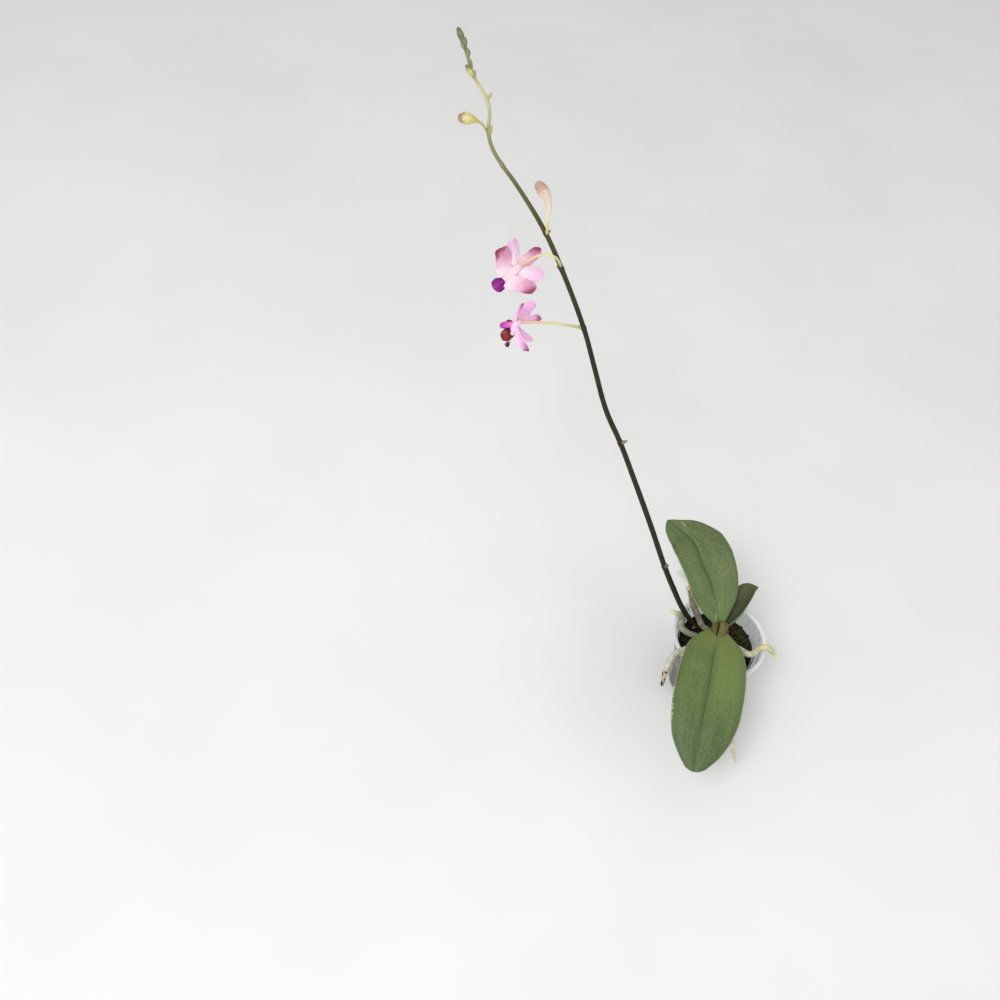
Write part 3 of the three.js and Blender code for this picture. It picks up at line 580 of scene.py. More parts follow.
def tube(points, radii, sides=20, steps=80, swell=None, across=(0.95, 0.1, -0.3)):
    """A round stalk with domed ends. swell(share, angle) changes its radius, and
    across is the way in which the angle is 0."""
    path = curve_through(points)
    across = np.array(across, float)
    dome = [(-0.7, 0.06), (-0.66, 0.42), (-0.5, 0.7), (-0.26, 0.93)]
    rings = [(0.0, shift, size) for shift, size in dome]
    rings += [(k / steps, 0.0, 1.0) for k in range(steps + 1)]
    rings += [(1.0, -shift, size) for shift, size in reversed(dome)]
    spots = []
    for share, shift, size in rings:
        ahead = heading_at(path, share)
        across = unit(across - ahead * across.dot(ahead))
        around = np.cross(ahead, across)
        radius = along(radii, share)
        centre = path(share) + ahead * shift * radius
        for k in range(sides):
            angle = 2 * math.pi * k / sides
            reach = radius * size * (1 + (swell(share, angle) if swell else 0))
            spots.append(centre + reach * (math.cos(angle) * across + math.sin(angle) * around))
    faces, corners = [], []
    for i in range(len(rings) - 1):
        low, high = rings[i][0], rings[i + 1][0]
        for k in range(sides):
            a, b = i * sides + k, i * sides + (k + 1) % sides
            faces.append((a, b, b + sides, a + sides))
            left, right = k / sides, (k + 1) / sides
            corners += [(low, left), (low, right), (high, right), (high, left)]
    last = (len(rings) - 1) * sides
    faces += [tuple(reversed(range(sides))), tuple(range(last, last + sides))]
    corners += [(0.0, 0.5)] * sides + [(1.0, 0.5)] * sides
    return {
        "points": [tuple(s) for s in spots],
        "faces": faces,
        "corners": corners,
        "sides": [0] * len(faces),
    }


def blade(
    spine,
    face,
    left,
    right=None,
    vee=0,
    roll=0,
    thick=1,
    edge=None,
    rows=40,
    half=8,
    groove=0,
    wave=0,
    twist=0,
    seed=0,
    tip=0.94,
    under=1,
):
    """A leaf or petal. spine is its midrib, face the way its upper side looks,
    and left and right its half widths. vee lifts the halves, roll bends the
    margins back, groove sinks the midrib, wave ripples the margins, and the
    end is rounded from the share tip. under is the underside's material."""
    right = right or left
    edge = edge or thick
    path = curve_through(spine)
    first = 0.5 - 0.5 * math.cos(0.06 * math.pi)
    shares = [0.5 - 0.5 * math.cos(math.pi * (0.06 + 0.94 * k / rows)) for k in range(rows + 1)]
    shares = [(s - first) / (1 - first) for s in shares]
    upper, lower = [], []
    for share in shares:
        ahead = heading_at(path, share)
        side = unit(np.cross(ahead, face))
        up = unit(np.cross(side, ahead))
        turn = math.radians(twist) * share
        side, up = (
            side * math.cos(turn) + up * math.sin(turn),
            up * math.cos(turn) - side * math.sin(turn),
        )
        ending = math.sqrt(max(0.0, 1 - max(0, (share - tip) / (1 - tip)) ** 2))
        for j in range(-half, half + 1):
            v = math.sin(0.5 * math.pi * j / half)
            width = max(0.04, along(left if j < 0 else right, share) * ending)
            lift = width * (vee * abs(v) - roll * v * v)
            lift -= groove * math.exp(-((v * width / 1.3) ** 2)) * min(1, width / 4)
            if wave:
                ripple = noise.noise(Vector((6.0 * share, 2.2 * v + seed, seed * 3.7)))
                lift += wave * ripple * (0.3 + abs(v)) * ending
            rim = max(0, (abs(v) - 0.9) / 0.1)
            depth = 0.5 * (thick + (edge - thick) * abs(v)) * (0.08 + 0.92 * math.sqrt(1 - rim * rim))
            depth *= 0.35 + 0.65 * ending
            middle = path(share) + side * (width * v) + up * lift
            upper.append(tuple(middle + up * depth))
            lower.append(tuple(middle - up * depth))
    across = 2 * half + 1
    count = len(upper)
    faces, corners, sides = [], [], []

    def add(ids, side):
        faces.append(ids)
        sides.append(side)
        for k in ids:
            row, column = divmod(k % count, across)
            corners.append((shares[row], 0.5 + 0.5 * math.sin(0.5 * math.pi * (column - half) / half)))

    for i in range(rows):
        for a in range(i * across, (i + 1) * across - 1):
            b, c, d = a + 1, a + across + 1, a + across
            add((a, b, c, d), 0)
            add((count + a, count + d, count + c, count + b), under)
        a, b = i * across, (i + 1) * across
        add((a, b, count + b, count + a), 0)
        a, b = a + across - 1, b + across - 1
        add((a, count + a, count + b, b), 0)
    for j in range(across - 1):
        end = rows * across + j
        add((j, count + j, count + j + 1, j + 1), 0)
        add((end + 1, count + end + 1, count + end, end), 0)
    return {"points": upper + lower, "faces": faces, "corners": corners, "sides": sides}


def sheath(foot, tip, face, widths, seed):
    """An old leaf's foot, dried to a pointed scale that clasps the stem."""
    middle = [(a + b) / 2 for a, b in zip(foot, tip)]
    return blade(
        [foot, middle, tip],
        face,
        widths,
        vee=0.4,
        roll=0.1,
        thick=0.9,
        edge=0.4,
        rows=24,
        half=8,
        wave=0.5,
        seed=seed,
        tip=0.8,
        under=0,
    )


def stem_bumps(share, angle):
    """Makes the stem a little uneven."""
    around = Vector((9 * share, math.cos(angle), math.sin(angle)))
    return 0.07 * noise.noise(around)


def hood_section(share, angle):
    """The folded sheath: wider than high, with a slit that opens to the front."""
    wide, high = math.cos(angle) * 0.5, math.sin(angle) * 1.15
    oval = 1 / math.hypot(wide, high) / 2
    off = math.remainder(angle - 0.5 * math.pi - SLIT_TURN + SLIT_LEAN * share, 2 * math.pi)
    slit = 0.72 * min(1, max(0, (share - 0.07) / 0.3)) * math.exp(-((off / (0.14 + 0.16 * share)) ** 2))
    fold = 0.08 * math.exp(-(((share - 0.05) / 0.035) ** 2))
    return oval * (1 - slit) * (1 + fold) - 1


hood_points = [(-2.3, 3, 65.2), (-2.4, 1, 65.8), (-2.9, -1.4, 65.9), (-4, -4.6, 65.6), (-5.5, -8.6, 64.9)]
hood_radii = [5, 5.3, 5, 3.9, 1]
hood_form = tube(hood_points, hood_radii, sides=60, steps=60, swell=hood_section, across=(1, 0, 0))
hood_form["sides"] = [1] * len(hood_form["faces"])
stem_form = join(
    [
        tube(stem_points, stem_radii, sides=28, steps=60, swell=stem_bumps),
        sheath((-3.2, 2.6, 55), (-5.6, 5.4, 64.6), (0.7, -0.7, 0), [4, 4, 3.2, 0.7], 1),
        sheath((1.2, 2.6, 55), (1.6, 4.6, 64.8), (-0.7, -0.7, 0), [4, 4, 3.2, 0.7], 2),
        sheath((0.4, -2.4, 52), (0.6, -4.6, 62.2), (0.2, 1, 0), [3.6, 4.4, 3.8, 1], 3),
        sheath((2.6, 0.4, 50), (4.4, 0.8, 61), (-1, -0.1, 0), [3.4, 4.2, 3.4, 0.8], 4),
        hood_form,
    ]
)

# Dry sheath: straw and brown fibres, darker low down
dry_sheath, tree, shader, place = start_material("dry sheath", Specular_IOR_Level=0.4)
fibres = use(tree, mottling, Place=place, Stretch=(1, 1, 0.12), Scale=1500, Detail=5)
blotch = use(
    tree, mottling, Place=place, Scale=300, Detail=4, First=tint(112, 98, 50), Second=tint(92, 64, 36)
)
height = axes(tree, place)[2]
color = over(tree, blotch["Color"], fibres["Mask"], 0.5, tint(164, 140, 86))
color = mixed(tree, fade(tree, height, 58 * MM, 50 * MM), color, tint(60, 44, 27))
finish(tree, shader, color, spread(tree, fibres["Mask"], 0.5, 0.7), fibres["Height"], 0.15)


def shifted(tree, value, by, amount):
    """The value, moved by an amount times how far another one is off 0.5."""
    return calc(tree, "MULTIPLY_ADD", calc(tree, "SUBTRACT", by, 0.5), amount, value)


# Living sheath over the crown: olive, tan on the ridge at the right, partly
# dry tissue and partly a painted highlight, brown at its joint with the leaf,
# and nearly black with painted shade in the slit
crown_sheath, tree, shader, place = start_material("crown sheath", Specular_IOR_Level=0.3)
fibres = use(tree, mottling, Place=place, Stretch=(1, 0.2, 1), Scale=1400, Detail=4)
blotch = use(
    tree, mottling, Place=place, Scale=420, Detail=4, First=tint(78, 78, 36), Second=tint(104, 100, 58)
)
length, around = axes(tree, surface_map(tree))[:2]
slit_at = calc(tree, "MULTIPLY_ADD", length, -SLIT_LEAN / (2 * math.pi), 0.25 + SLIT_TURN / (2 * math.pi))
# The ridge at the upper right: its tan is partly dry tissue and partly a painted highlight
ridge = calc(tree, "MULTIPLY", fade(tree, around, 0.34, 0.2), fade(tree, around, 0.02, 0.14))
ridge = calc(tree, "MULTIPLY", ridge, fade(tree, length, 0.85, 0.35))
dry = calc(tree, "MULTIPLY", ridge, spread(tree, fibres["Mask"], 0.35, 0.9))
color = mixed(tree, dry, blotch["Color"], tint(122, 114, 74))
color = mixed(tree, fade(tree, length, 0.45, 0.9), color, tint(94, 102, 50))
joint = shifted(tree, length, blotch["Height"], 0.08)
color = over(tree, color, fade(tree, joint, 0.09, 0.05), 0.85, tint(90, 62, 26))
past_slit = calc(tree, "SUBTRACT", around, slit_at)
color = over(tree, color, fade(tree, past_slit, 0, 0.06), 0.8, tint(84, 90, 40))
off_slit = calc(tree, "ABSOLUTE", past_slit)
browned = shifted(tree, off_slit, blotch["Height"], 0.05)
color = over(tree, color, fade(tree, browned, 0.1, 0.05), 0.75, tint(88, 68, 32))
# Painted shade: the slit goes nearly black
slit_shade = calc(tree, "MULTIPLY", fade(tree, off_slit, 0.05, 0.02), fade(tree, length, 0.04, 0.2))
color = mixed(tree, slit_shade, color, tint(34, 28, 8))
finish(tree, shader, color, spread(tree, fibres["Mask"], 0.42, 0.6), fibres["Height"], 0.1)
build("stem_sheaths", stem_form, [dry_sheath, crown_sheath], ["stem"])

# Leaves: thick, fleshy and strap-shaped. Each grows from the stem, is folded
# along a sunk midrib, and has a thin pale margin.
LEAF_THICK = 1.7
LEAF_EDGE = 0.8
leaves = {
    "leaf_front": dict(
        spine=[
            (-2.9, -1.6, 63.4),
            (-4.6, -8.5, 65.2),
            (-8.1, -24.2, 66.4),
            (-11.9, -48.8, 64.4),
            (-14.8, -66.3, 60.4),
            (-17, -84.5, 54),
            (-17.9, -94.8, 49.3),
        ],
        face=(0, 0, 1),
        left=[6.3, 15.6, 19.8, 21.7, 22.6, 22.9, 22.8, 22.4, 20.7, 17.6, 12.4, 4.6],
        right=[5.5, 12.4, 16.9, 18.8, 19.9, 20.5, 20.4, 19.7, 18.3, 15.8, 10.8, 4],
        vee=0.2,
        roll=0.22,
        groove=0.55,
        wave=0.4,
        seed=1,
        rows=110,
        half=24,
        tip=0.972,
    ),
    "leaf_back": dict(
        spine=[
            (-2.2, 2.2, 65.2),
            (-5.2, 8, 70.4),
            (-11.2, 21.1, 80),
            (-18.5, 30.4, 88),
            (-24.9, 41.7, 93.6),
            (-31.6, 49.8, 94.4),
            (-43.8, 56.1, 98.2),
        ],
        face=(0.25, -0.45, 0.85),
        left=[3.2, 9, 14.2, 15.8, 15.6, 15, 15.9, 15.8, 13.6, 11, 4.9],
        right=[3, 10, 15.5, 19, 22, 22.9, 22.6, 20.1, 13.8, 6.2, 1],
        vee=0.3,
        roll=0.22,
        groove=0.7,
        wave=0.35,
        seed=2,
        rows=100,
        half=24,
        tip=0.95,
    ),
    "leaf_side": dict(
        spine=[
            (2.6, 3.4, 60.4),
            (8.6, 9, 62.4),
            (13.6, 15.6, 65.4),
            (17.6, 23, 68.4),
            (20, 28.2, 70),
            (22.8, 32, 71),
        ],
        face=(-0.69, 0.12, 0.72),
        left=[2.2, 3.6, 5.6, 7.6, 8.8, 8, 2.8],
        right=[2.2, 3.2, 4.4, 5.2, 5.4, 4.6, 1.6],
        vee=1,
        roll=0.1,
        groove=0.2,
        seed=3,
        rows=60,
        half=16,
        tip=0.94,
    ),
}

# Blade lines: the marks that lie along a leaf or petal. Each is a mask: the
# midrib, the soft painted shade beside it, the margin, and a number of long veins.
blade_lines, given, out = effect(
    "blade lines",
    {"Along and across": (0, 0, 0), "Rib width": 0.03, "Margin width": 0.04, "Veins": 20, "Waver": 1},
    {name: "Float" for name in ("Along", "Across", "Rib", "Shade", "Margin", "Veins")},
)
length, across = axes(blade_lines, given["Along and across"])[:2]
from_rib = calc(blade_lines, "ABSOLUTE", calc(blade_lines, "MULTIPLY_ADD", across, 2, -1))
rib = fade(blade_lines, from_rib, given["Rib width"], calc(blade_lines, "MULTIPLY", given["Rib width"], 0.2))
shade = fade(blade_lines, from_rib, calc(blade_lines, "MULTIPLY", given["Rib width"], 7), 0)
inner = calc(blade_lines, "SUBTRACT", 1, given["Margin width"])
outer = calc(blade_lines, "MULTIPLY_ADD", given["Margin width"], -0.3, 1)
waves = put(
    blade_lines,
    "ShaderNodeTexWave",
    {
        "Vector": given["Along and across"],
        "Scale": calc(blade_lines, "MULTIPLY", given["Veins"], 0.159),
        "Distortion": given["Waver"],
        "Detail": 2,
    },
    bands_direction="Y",
).outputs["Fac"]
for name, value in {
    "Along": length,
    "Across": across,
    "Rib": rib,
    "Shade": shade,
    "Margin": fade(blade_lines, from_rib, inner, outer),
    "Veins": waves,
}.items():
    blade_lines.links.new(value, out[name])

# Scratch: a mask along a straight line from one place to another
scratch, given, out = effect(
    "scratch",
    {"Place": (0, 0, 0), "From": (0, 0, 0), "To": (1, 0, 0), "Width": 0.02},
    {"Mask": "Float"},
)


def vector_calc(tree, operation, first, second, output="Vector"):
    """As calc, but for two vectors. The output is a vector or a value."""
    made = put(tree, "ShaderNodeVectorMath", {0: first, 1: second}, operation=operation)
    return made.outputs[output]


line = vector_calc(scratch, "SUBTRACT", given["To"], given["From"])
gone = vector_calc(scratch, "SUBTRACT", given["Place"], given["From"])
along_line = vector_calc(scratch, "DOT_PRODUCT", gone, line, "Value")
whole_line = vector_calc(scratch, "DOT_PRODUCT", line, line, "Value")
reach = calc(scratch, "DIVIDE", along_line, whole_line, clamp=True)
nearest = put(scratch, "ShaderNodeVectorMath", {0: line, "Scale": reach}, operation="SCALE").outputs[0]
off = vector_calc(scratch, "DISTANCE", gone, nearest, "Value")
scratch.links.new(fade(scratch, off, given["Width"], 0), out["Mask"])


def leaf_material(name, size, green, light, foot, end, lit_green, lit_half, grain_and_glints=1, specks=0, scratches=()):
    """A leaf's upper side. size is its length and width. A yellower green is
    painted as light over one half, between two given places, one on each side
    of the midrib. One amount gives how much its surface is marked and how strong
    its painted glints are, and specks how many white marks the margin of its
    other half has."""
    made, tree, shader, place = start_material(
        name, Specular_IOR_Level=0.35, Coat_Weight=0.08, Coat_Roughness=0.4
    )
    uv = surface_map(tree)
    long, wide = size[0] * MM, size[1] * MM
    flat = put(tree, "ShaderNodeMapping", {"Vector": uv, "Scale": (long, wide, 1)}).outputs[0]
    lines = use(
        tree, blade_lines, Along_and_across=uv, Rib_width=0.03, Margin_width=0.036, Veins=34, Waver=1.2
    )
    length, across = lines["Along"], lines["Across"]

    # Its green, from foot to end, with painted light on its brighter half
    tone = use(tree, mottling, Place=place, Scale=70, Detail=5, First=green, Second=light)
    painted_light = fade(tree, across, *lit_half)
    color = over(tree, tone["Color"], painted_light, fade(tree, length, 0.8, 0.25), lit_green)
    color = mixed(tree, fade(tree, length, 0.42, 0.9), color, end)
    color = mixed(tree, fade(tree, length, 0.32, 0.0), color, foot)

    # Its skin: pale bands that run along it, dashes of painted highlight along them, and dark pits
    bands = use(tree, mottling, Place=flat, Stretch=(0.1, 1, 1), Scale=330, Detail=4)
    dashes = use(tree, mottling, Place=flat, Stretch=(0.4, 1, 1), Scale=1500, Detail=4, Sharpness=0.7)
    pits = use(tree, mottling, Place=flat, Scale=2300, Detail=2, Sharpness=0.9)
    color = over(tree, color, bands["Mask"], 0.28 * grain_and_glints, tint(120, 138, 86))
    color = over(tree, color, dashes["Mask"], 0.12 * grain_and_glints, tint(150, 164, 112))
    color = over(tree, color, pits["Mask"], 0.12, tint(44, 62, 32))

    # Wear: fine winding trails in patches and dark flecks, with pale flecks of painted highlight
    patches = use(tree, mottling, Place=flat, Scale=110, Detail=3, Sharpness=0.7)
    trail = use(tree, mottling, Place=flat, Scale=420, Detail=3)
    worn = calc(tree, "ABSOLUTE", calc(tree, "SUBTRACT", trail["Height"], 0.5))
    worn = calc(tree, "MULTIPLY", fade(tree, worn, 0.016, 0), patches["Mask"])
    color = over(tree, color, worn, 0.45 * grain_and_glints, tint(150, 164, 118))
    color = over(tree, color, fade(tree, dashes["Height"], 0.6, 0.7), 0.42 * grain_and_glints, tint(164, 178, 118))
    color = over(tree, color, fade(tree, pits["Height"], 0.64, 0.72), 0.4, tint(46, 60, 32))

    # Painted shade beside the midrib and on the darker sides, then the midrib and the pale margin
    beside = calc(tree, "MULTIPLY", lines["Shade"], fade(tree, length, 0.02, 0.3))
    color = over(tree, color, beside, 0.26, tint(56, 80, 38))
    sides = calc(tree, "ABSOLUTE", calc(tree, "MULTIPLY_ADD", across, 2, -1))
    color = over(tree, color, fade(tree, sides, 0.72, 1.0), 0.34, tint(66, 78, 48))
    faint = calc(tree, "MULTIPLY", fade(tree, length, 1.0, 0.6), fade(tree, length, 0.04, 0.3))
    color = over(tree, color, lines["Rib"], spread(tree, faint, 0.12, 0.62), tint(44, 60, 34))
    color = over(tree, color, lines["Margin"], 0.6, tint(162, 168, 136))

    # White specks on the margin of the half without painted light, and scratches
    spotted = use(tree, mottling, Place=flat, Scale=560, Detail=1)
    edge = 0.99 if lit_half[0] > lit_half[1] else 0.01
    stretch = calc(tree, "MULTIPLY", fade(tree, length, 0.46, 0.54), fade(tree, length, 0.8, 0.74))
    zone = calc(tree, "MULTIPLY", fade(tree, across, 0.5 + 0.94 * (edge - 0.5), edge), stretch)
    spots = calc(tree, "MULTIPLY", fade(tree, spotted["Height"], 0.53, 0.59), zone)
    marks = calc(tree, "MULTIPLY", spots, specks)
    broken = spread(tree, dashes["Mask"], 0.5, 1)
    for start, stop, thickness in scratches:
        ends = [Vector((a * long, b * wide, 0)) for a, b in (start, stop)]
        line = use(tree, scratch, Place=flat, From=ends[0], To=ends[1], Width=thickness * MM)
        marks = calc(tree, "MAXIMUM", marks, calc(tree, "MULTIPLY", line["Mask"], broken))
    color = mixed(tree, marks, color, tint(206, 214, 170))

    bumps = calc(tree, "MULTIPLY_ADD", lines["Veins"], 0.35, dashes["Height"])
    finish(tree, shader, color, spread(tree, pits["Height"], 0.38, 0.62), bumps, 0.09)
    return made


under_leaf, tree, shader, place = start_material("leaf underside", Specular_IOR_Level=0.4)
lines = use(tree, blade_lines, Along_and_across=surface_map(tree), Rib_width=0.06, Veins=30)
tone = use(
    tree, mottling, Place=place, Scale=120, Detail=5, First=tint(92, 108, 66), Second=tint(112, 124, 82)
)
color = over(tree, tone["Color"], lines["Rib"], 0.5, tint(132, 142, 96))
bumps = calc(tree, "MULTIPLY_ADD", lines["Veins"], 0.4, tone["Height"])
finish(tree, shader, color, spread(tree, tone["Mask"], 0.45, 0.6), bumps, 0.1)

leaf_finishes = {
    "leaf_front": leaf_material(
        "front leaf",
        size=(97, 43),
        green=tint(81, 103, 47),
        light=tint(96, 117, 55),
        foot=tint(108, 120, 48),
        end=tint(62, 84, 44),
        lit_green=tint(102, 124, 52),
        lit_half=(0.56, 0.38),
        specks=0.9,
    ),
    "leaf_back": leaf_material(
        "back leaf",
        size=(84, 38),
        green=tint(72, 93, 46),
        light=tint(86, 105, 57),
        foot=tint(80, 106, 40),
        end=tint(76, 92, 48),
        lit_green=tint(88, 104, 60),
        lit_half=(0.46, 0.62),
        grain_and_glints=1.25,
        scratches=[
            ((0.211, 0.45), (0.142, 0.45), 0.4),
            ((0.142, 0.45), (0.102, 0.44), 0.5),
            ((0.102, 0.44), (0.06, 0.27), 0.4),
            ((0.102, 0.44), (0.055, 0.39), 0.4),
            ((0.954, 0.79), (0.902, 0.842), 0.3),
            ((0.902, 0.842), (0.853, 0.676), 0.5),
        ],
    ),
    # The side leaf's darker, browner greens are partly painted shade
    "leaf_side": leaf_material(
        "side leaf",
        size=(40, 12),
        green=tint(44, 52, 22),
        light=tint(60, 66, 30),
        foot=tint(48, 62, 20),
        end=tint(80, 84, 46),
        lit_green=tint(50, 60, 28),
        lit_half=(0.46, 0.62),
        grain_and_glints=0.3,
    ),
}
for name, shape in leaves.items():
    form = blade(thick=LEAF_THICK, edge=LEAF_EDGE, **shape)
    build(f"{name}_blade", form, [leaf_finishes[name], under_leaf], [name])

# Aerial roots: round and fleshy, in a spongy silvery skin with shallow rings,
# greener towards the growing tip. They leave the stem's foot and wander over
# the rim, and a few have grown down inside the clear wall.
ROOT_RADIUS = 1.8
roots = {
    "root_left_curl": dict(
        points=[
            (-2.5, 1.6, 49.6),
            (-9, -0.2, 50.4),
            (-16.7, 0.3, 52),
            (-21.4, 0.7, 53.4),
            (-25.5, 2.9, 55.5),
            (-26.1, 5.7, 60.5),
            (-29.4, 6, 65),
            (-35, 6.4, 66.4),
        ],
        taper=[0.89, 0.94, 1.06, 1.11, 1.17, 1.11, 1, 0.58],
        skin=(tint(122, 122, 104), tint(166, 166, 146)),
        tip=tint(218, 216, 182),
        # The first patch darkens the root's middle with painted shade, and the second is a brown stain
        stains_and_shade=[(0.73, 0.1, 0.08, tint(98, 96, 74)), (0.44, 0.03, 0.2, tint(88, 66, 46))],
    ),
    "root_left_rim": dict(
        points=[
            (-2, -0.5, 48),
            (-12, -8, 51.4),
            (-19, -12.2, 55),
            (-24.7, -16.2, 57.8),
            (-30, -20.3, 59.4),
            (-33.8, -25.9, 59.2),
            (-36.1, -32.1, 56.6),
            (-37, -39, 50),
        ],
        taper=[0.89, 1, 1.11, 1.17, 1.11, 1.06, 0.94, 0.6],
        skin=(tint(186, 184, 164), tint(222, 219, 204)),
        tip=tint(178, 158, 136),
        stains_and_shade=[
            (0.885, 0.024, 0.2, tint(112, 68, 52)),
            (0.94, 0.022, 0.8, tint(104, 62, 50)),
            (0.99, 0.03, 0.1, tint(56, 32, 28)),
            (0.86, 0.014, 0.95, tint(134, 92, 70)),
        ],
    ),
    "root_right_rim": dict(
        points=[
            (1.5, 0, 49),
            (6.5, -5, 53.4),
            (11.7, -8.7, 56.8),
            (15.6, -12.6, 58.6),
            (19, -13.4, 59.8),
            (22.6, -10.6, 61.6),
            (27.4, -8.6, 62.6),
            (33.4, -9.3, 59),
            (36.8, -11.8, 54.8),
        ],
        taper=[0.83, 0.94, 1.06, 1.11, 1.17, 1.06, 1.06, 0.94, 0.36],
        skin=(tint(172, 172, 140), tint(214, 212, 184)),
        tip=tint(226, 222, 176),
        stains_and_shade=[(0.695, 0.07, 0.07, tint(222, 208, 152)), (0.645, 0.014, 0.05, tint(210, 178, 120))],
    ),
    "root_front": dict(
        points=[
            (0.5, -1.5, 47),
            (2, -14, 51.5),
            (3.5, -28, 59.4),
            (4.8, -42, 60),
            (5.6, -56, 55),
            (7, -66, 47.6),
            (11, -69.2, 35),
            (14.9, -69.2, 24),
            (16.9, -69, 18.4),
        ],
        taper=[0.67, 0.83, 0.83, 0.78, 0.78, 0.72, 0.72, 0.72, 0.34],
        skin=(tint(192, 188, 164), tint(224, 220, 202)),
        tip=tint(212, 206, 170),
        stains_and_shade=[],
    ),
    "root_back": dict(
        points=[
            (-1.5, 4.6, 48.6),
            (-5.4, 7, 49.6),
            (-9.9, 8.8, 50.6),
            (-13.5, 12.8, 54.2),
            (-18, 21.6, 57.6),
            (-19.8, 27.4, 60),
            (-22.3, 31, 61.4),
        ],
        taper=[0.83, 1, 1.11, 1.17, 1.22, 1.11, 0.78],
        skin=(tint(112, 110, 92), tint(164, 158, 138)),
        tip=tint(190, 178, 150),
        stains_and_shade=[(0.975, 0.04, 0.8, tint(208, 200, 180)), (0.915, 0.026, 0.87, tint(150, 100, 58))],
    ),
}

# Ragged mark: a patch on one side of a root, at a place along it and round it, used for stains and for
# painted shade
ragged_mark, given, out = effect(
    "ragged_mark",
    {"Along": 0, "Around": 0, "Centre": 0.5, "Reach": 0.05, "Side": 0.25, "Ragged": 0.5},
    {"Mask": "Float"},
)
along_off = calc(ragged_mark, "SUBTRACT", given["Along"], given["Centre"])
along_off = calc(ragged_mark, "DIVIDE", along_off, given["Reach"])
turned_by = calc(ragged_mark, "SUBTRACT", given["Around"], given["Side"])
around_off = calc(ragged_mark, "MULTIPLY", calc(ragged_mark, "PINGPONG", turned_by, 0.5), 6)
squared = calc(ragged_mark, "MULTIPLY", around_off, around_off)
off = calc(ragged_mark, "SQRT", calc(ragged_mark, "MULTIPLY_ADD", along_off, along_off, squared))
off = shifted(ragged_mark, off, given["Ragged"], 2.4)
ragged_mark.links.new(fade(ragged_mark, off, 1.15, 0.75), out["Mask"])


def root_material(name, skin, tip, stains_and_shade):
    """Silvery skin between two colours, and the growing tip's own. Each ragged
    patch, most of them stains and one painted shade, has its place along the root,
    its reach, its place round it and its colour."""
    made, tree, shader, place = start_material(name, Specular_IOR_Level=0.25)
    length, around = axes(tree, surface_map(tree))[:2]
    clouds = use(
        tree, mottling, Place=place, Scale=260, Detail=5, Sharpness=0.2, First=skin[0], Second=skin[1]
    )
    wrinkles = use(tree, mottling, Place=place, Scale=1100, Detail=5, Sharpness=0.6)
    color = over(tree, clouds["Color"], wrinkles["Mask"], 0.22, tint(122, 124, 92))
    color = mixed(tree, fade(tree, length, 0.82, 1.0), color, tip)
    for centre, reach, side, mark_color in stains_and_shade:
        mark = use(
            tree, ragged_mark, Along=length, Around=around, Centre=centre, Reach=reach, Side=side,
            Ragged=wrinkles["Height"],
        )
        color = mixed(tree, mark["Mask"], color, mark_color)
    color = over(tree, color, fade(tree, length, 0.2, 0.03), 0.75, tint(78, 70, 50))
    finish(tree, shader, color, spread(tree, wrinkles["Height"], 0.5, 0.9), wrinkles["Height"], 0.16)
    return made


def ringed(shift):
    """Uneven swelling with shallow rings, as a root's skin has."""

    def swell(share, angle):
        around = Vector((math.cos(angle), math.sin(angle), 0))
        slow = noise.noise(Vector((14 * share, shift, 0)))
        rings = noise.noise(Vector((64 * share, shift + 3, 0.4 * math.cos(angle))))
        small = noise.noise(around * 1.3 + Vector((0, 0, 40 * share + shift)))
        return 0.06 * slow + 0.05 * rings + 0.05 * small

    return swell


for order, (name, root) in enumerate(roots.items()):
    radii = [share * ROOT_RADIUS for share in root["taper"]]
    form = tube(root["points"], radii, sides=28, steps=170, swell=ringed(order * 5.7), across=(0, 0, 1))
    skin = root_material(f"{name} skin", root["skin"], root["tip"], root["stains_and_shade"])
    build(f"{name}_skin", form, [skin], [name])

# The roots inside the pot: height and angle along each, pressed on the wall
BURIED_DEPTH = 1.25  # from the medium's side to the middle of a root
buried_roots = [
    [(43, 200), (38, 212), (30, 216), (20, 208), (12, 196), (7, 178)],
    [(43, 285), (36, 277), (27, 283), (19, 296), (14, 314), (11, 332)],
    [(42, 20), (35, 31), (24, 33), (15, 24), (9, 11), (6, -4)],
    [(43, 110), (37, 99), (29, 95), (19, 103), (12, 117), (8, 132)],
    [(42, 158), (33, 150), (26, 158), (20, 172)],
    [(41, 325), (34, 335), (24, 338), (18, 350)],
]
in_pot = []
for order, route in enumerate(buried_roots):
    spots = []
    for z, degrees in route:
        reach, angle = soil_edge(z) - BURIED_DEPTH, math.radians(degrees)
        spots.append((reach * math.cos(angle), reach * math.sin(angle), z))
    radii = [1.15, 1.25, 1.3, 1.2, 1.2, 0.7]
    in_pot.append(tube(spots, radii, sides=16, steps=80, swell=ringed(30 + order)))
buried_skin = root_material(
    "buried root skin", (tint(150, 152, 112), tint(196, 192, 160)), tint(168, 176, 96), []
)
build("roots_in_pot", join(in_pot), [buried_skin])

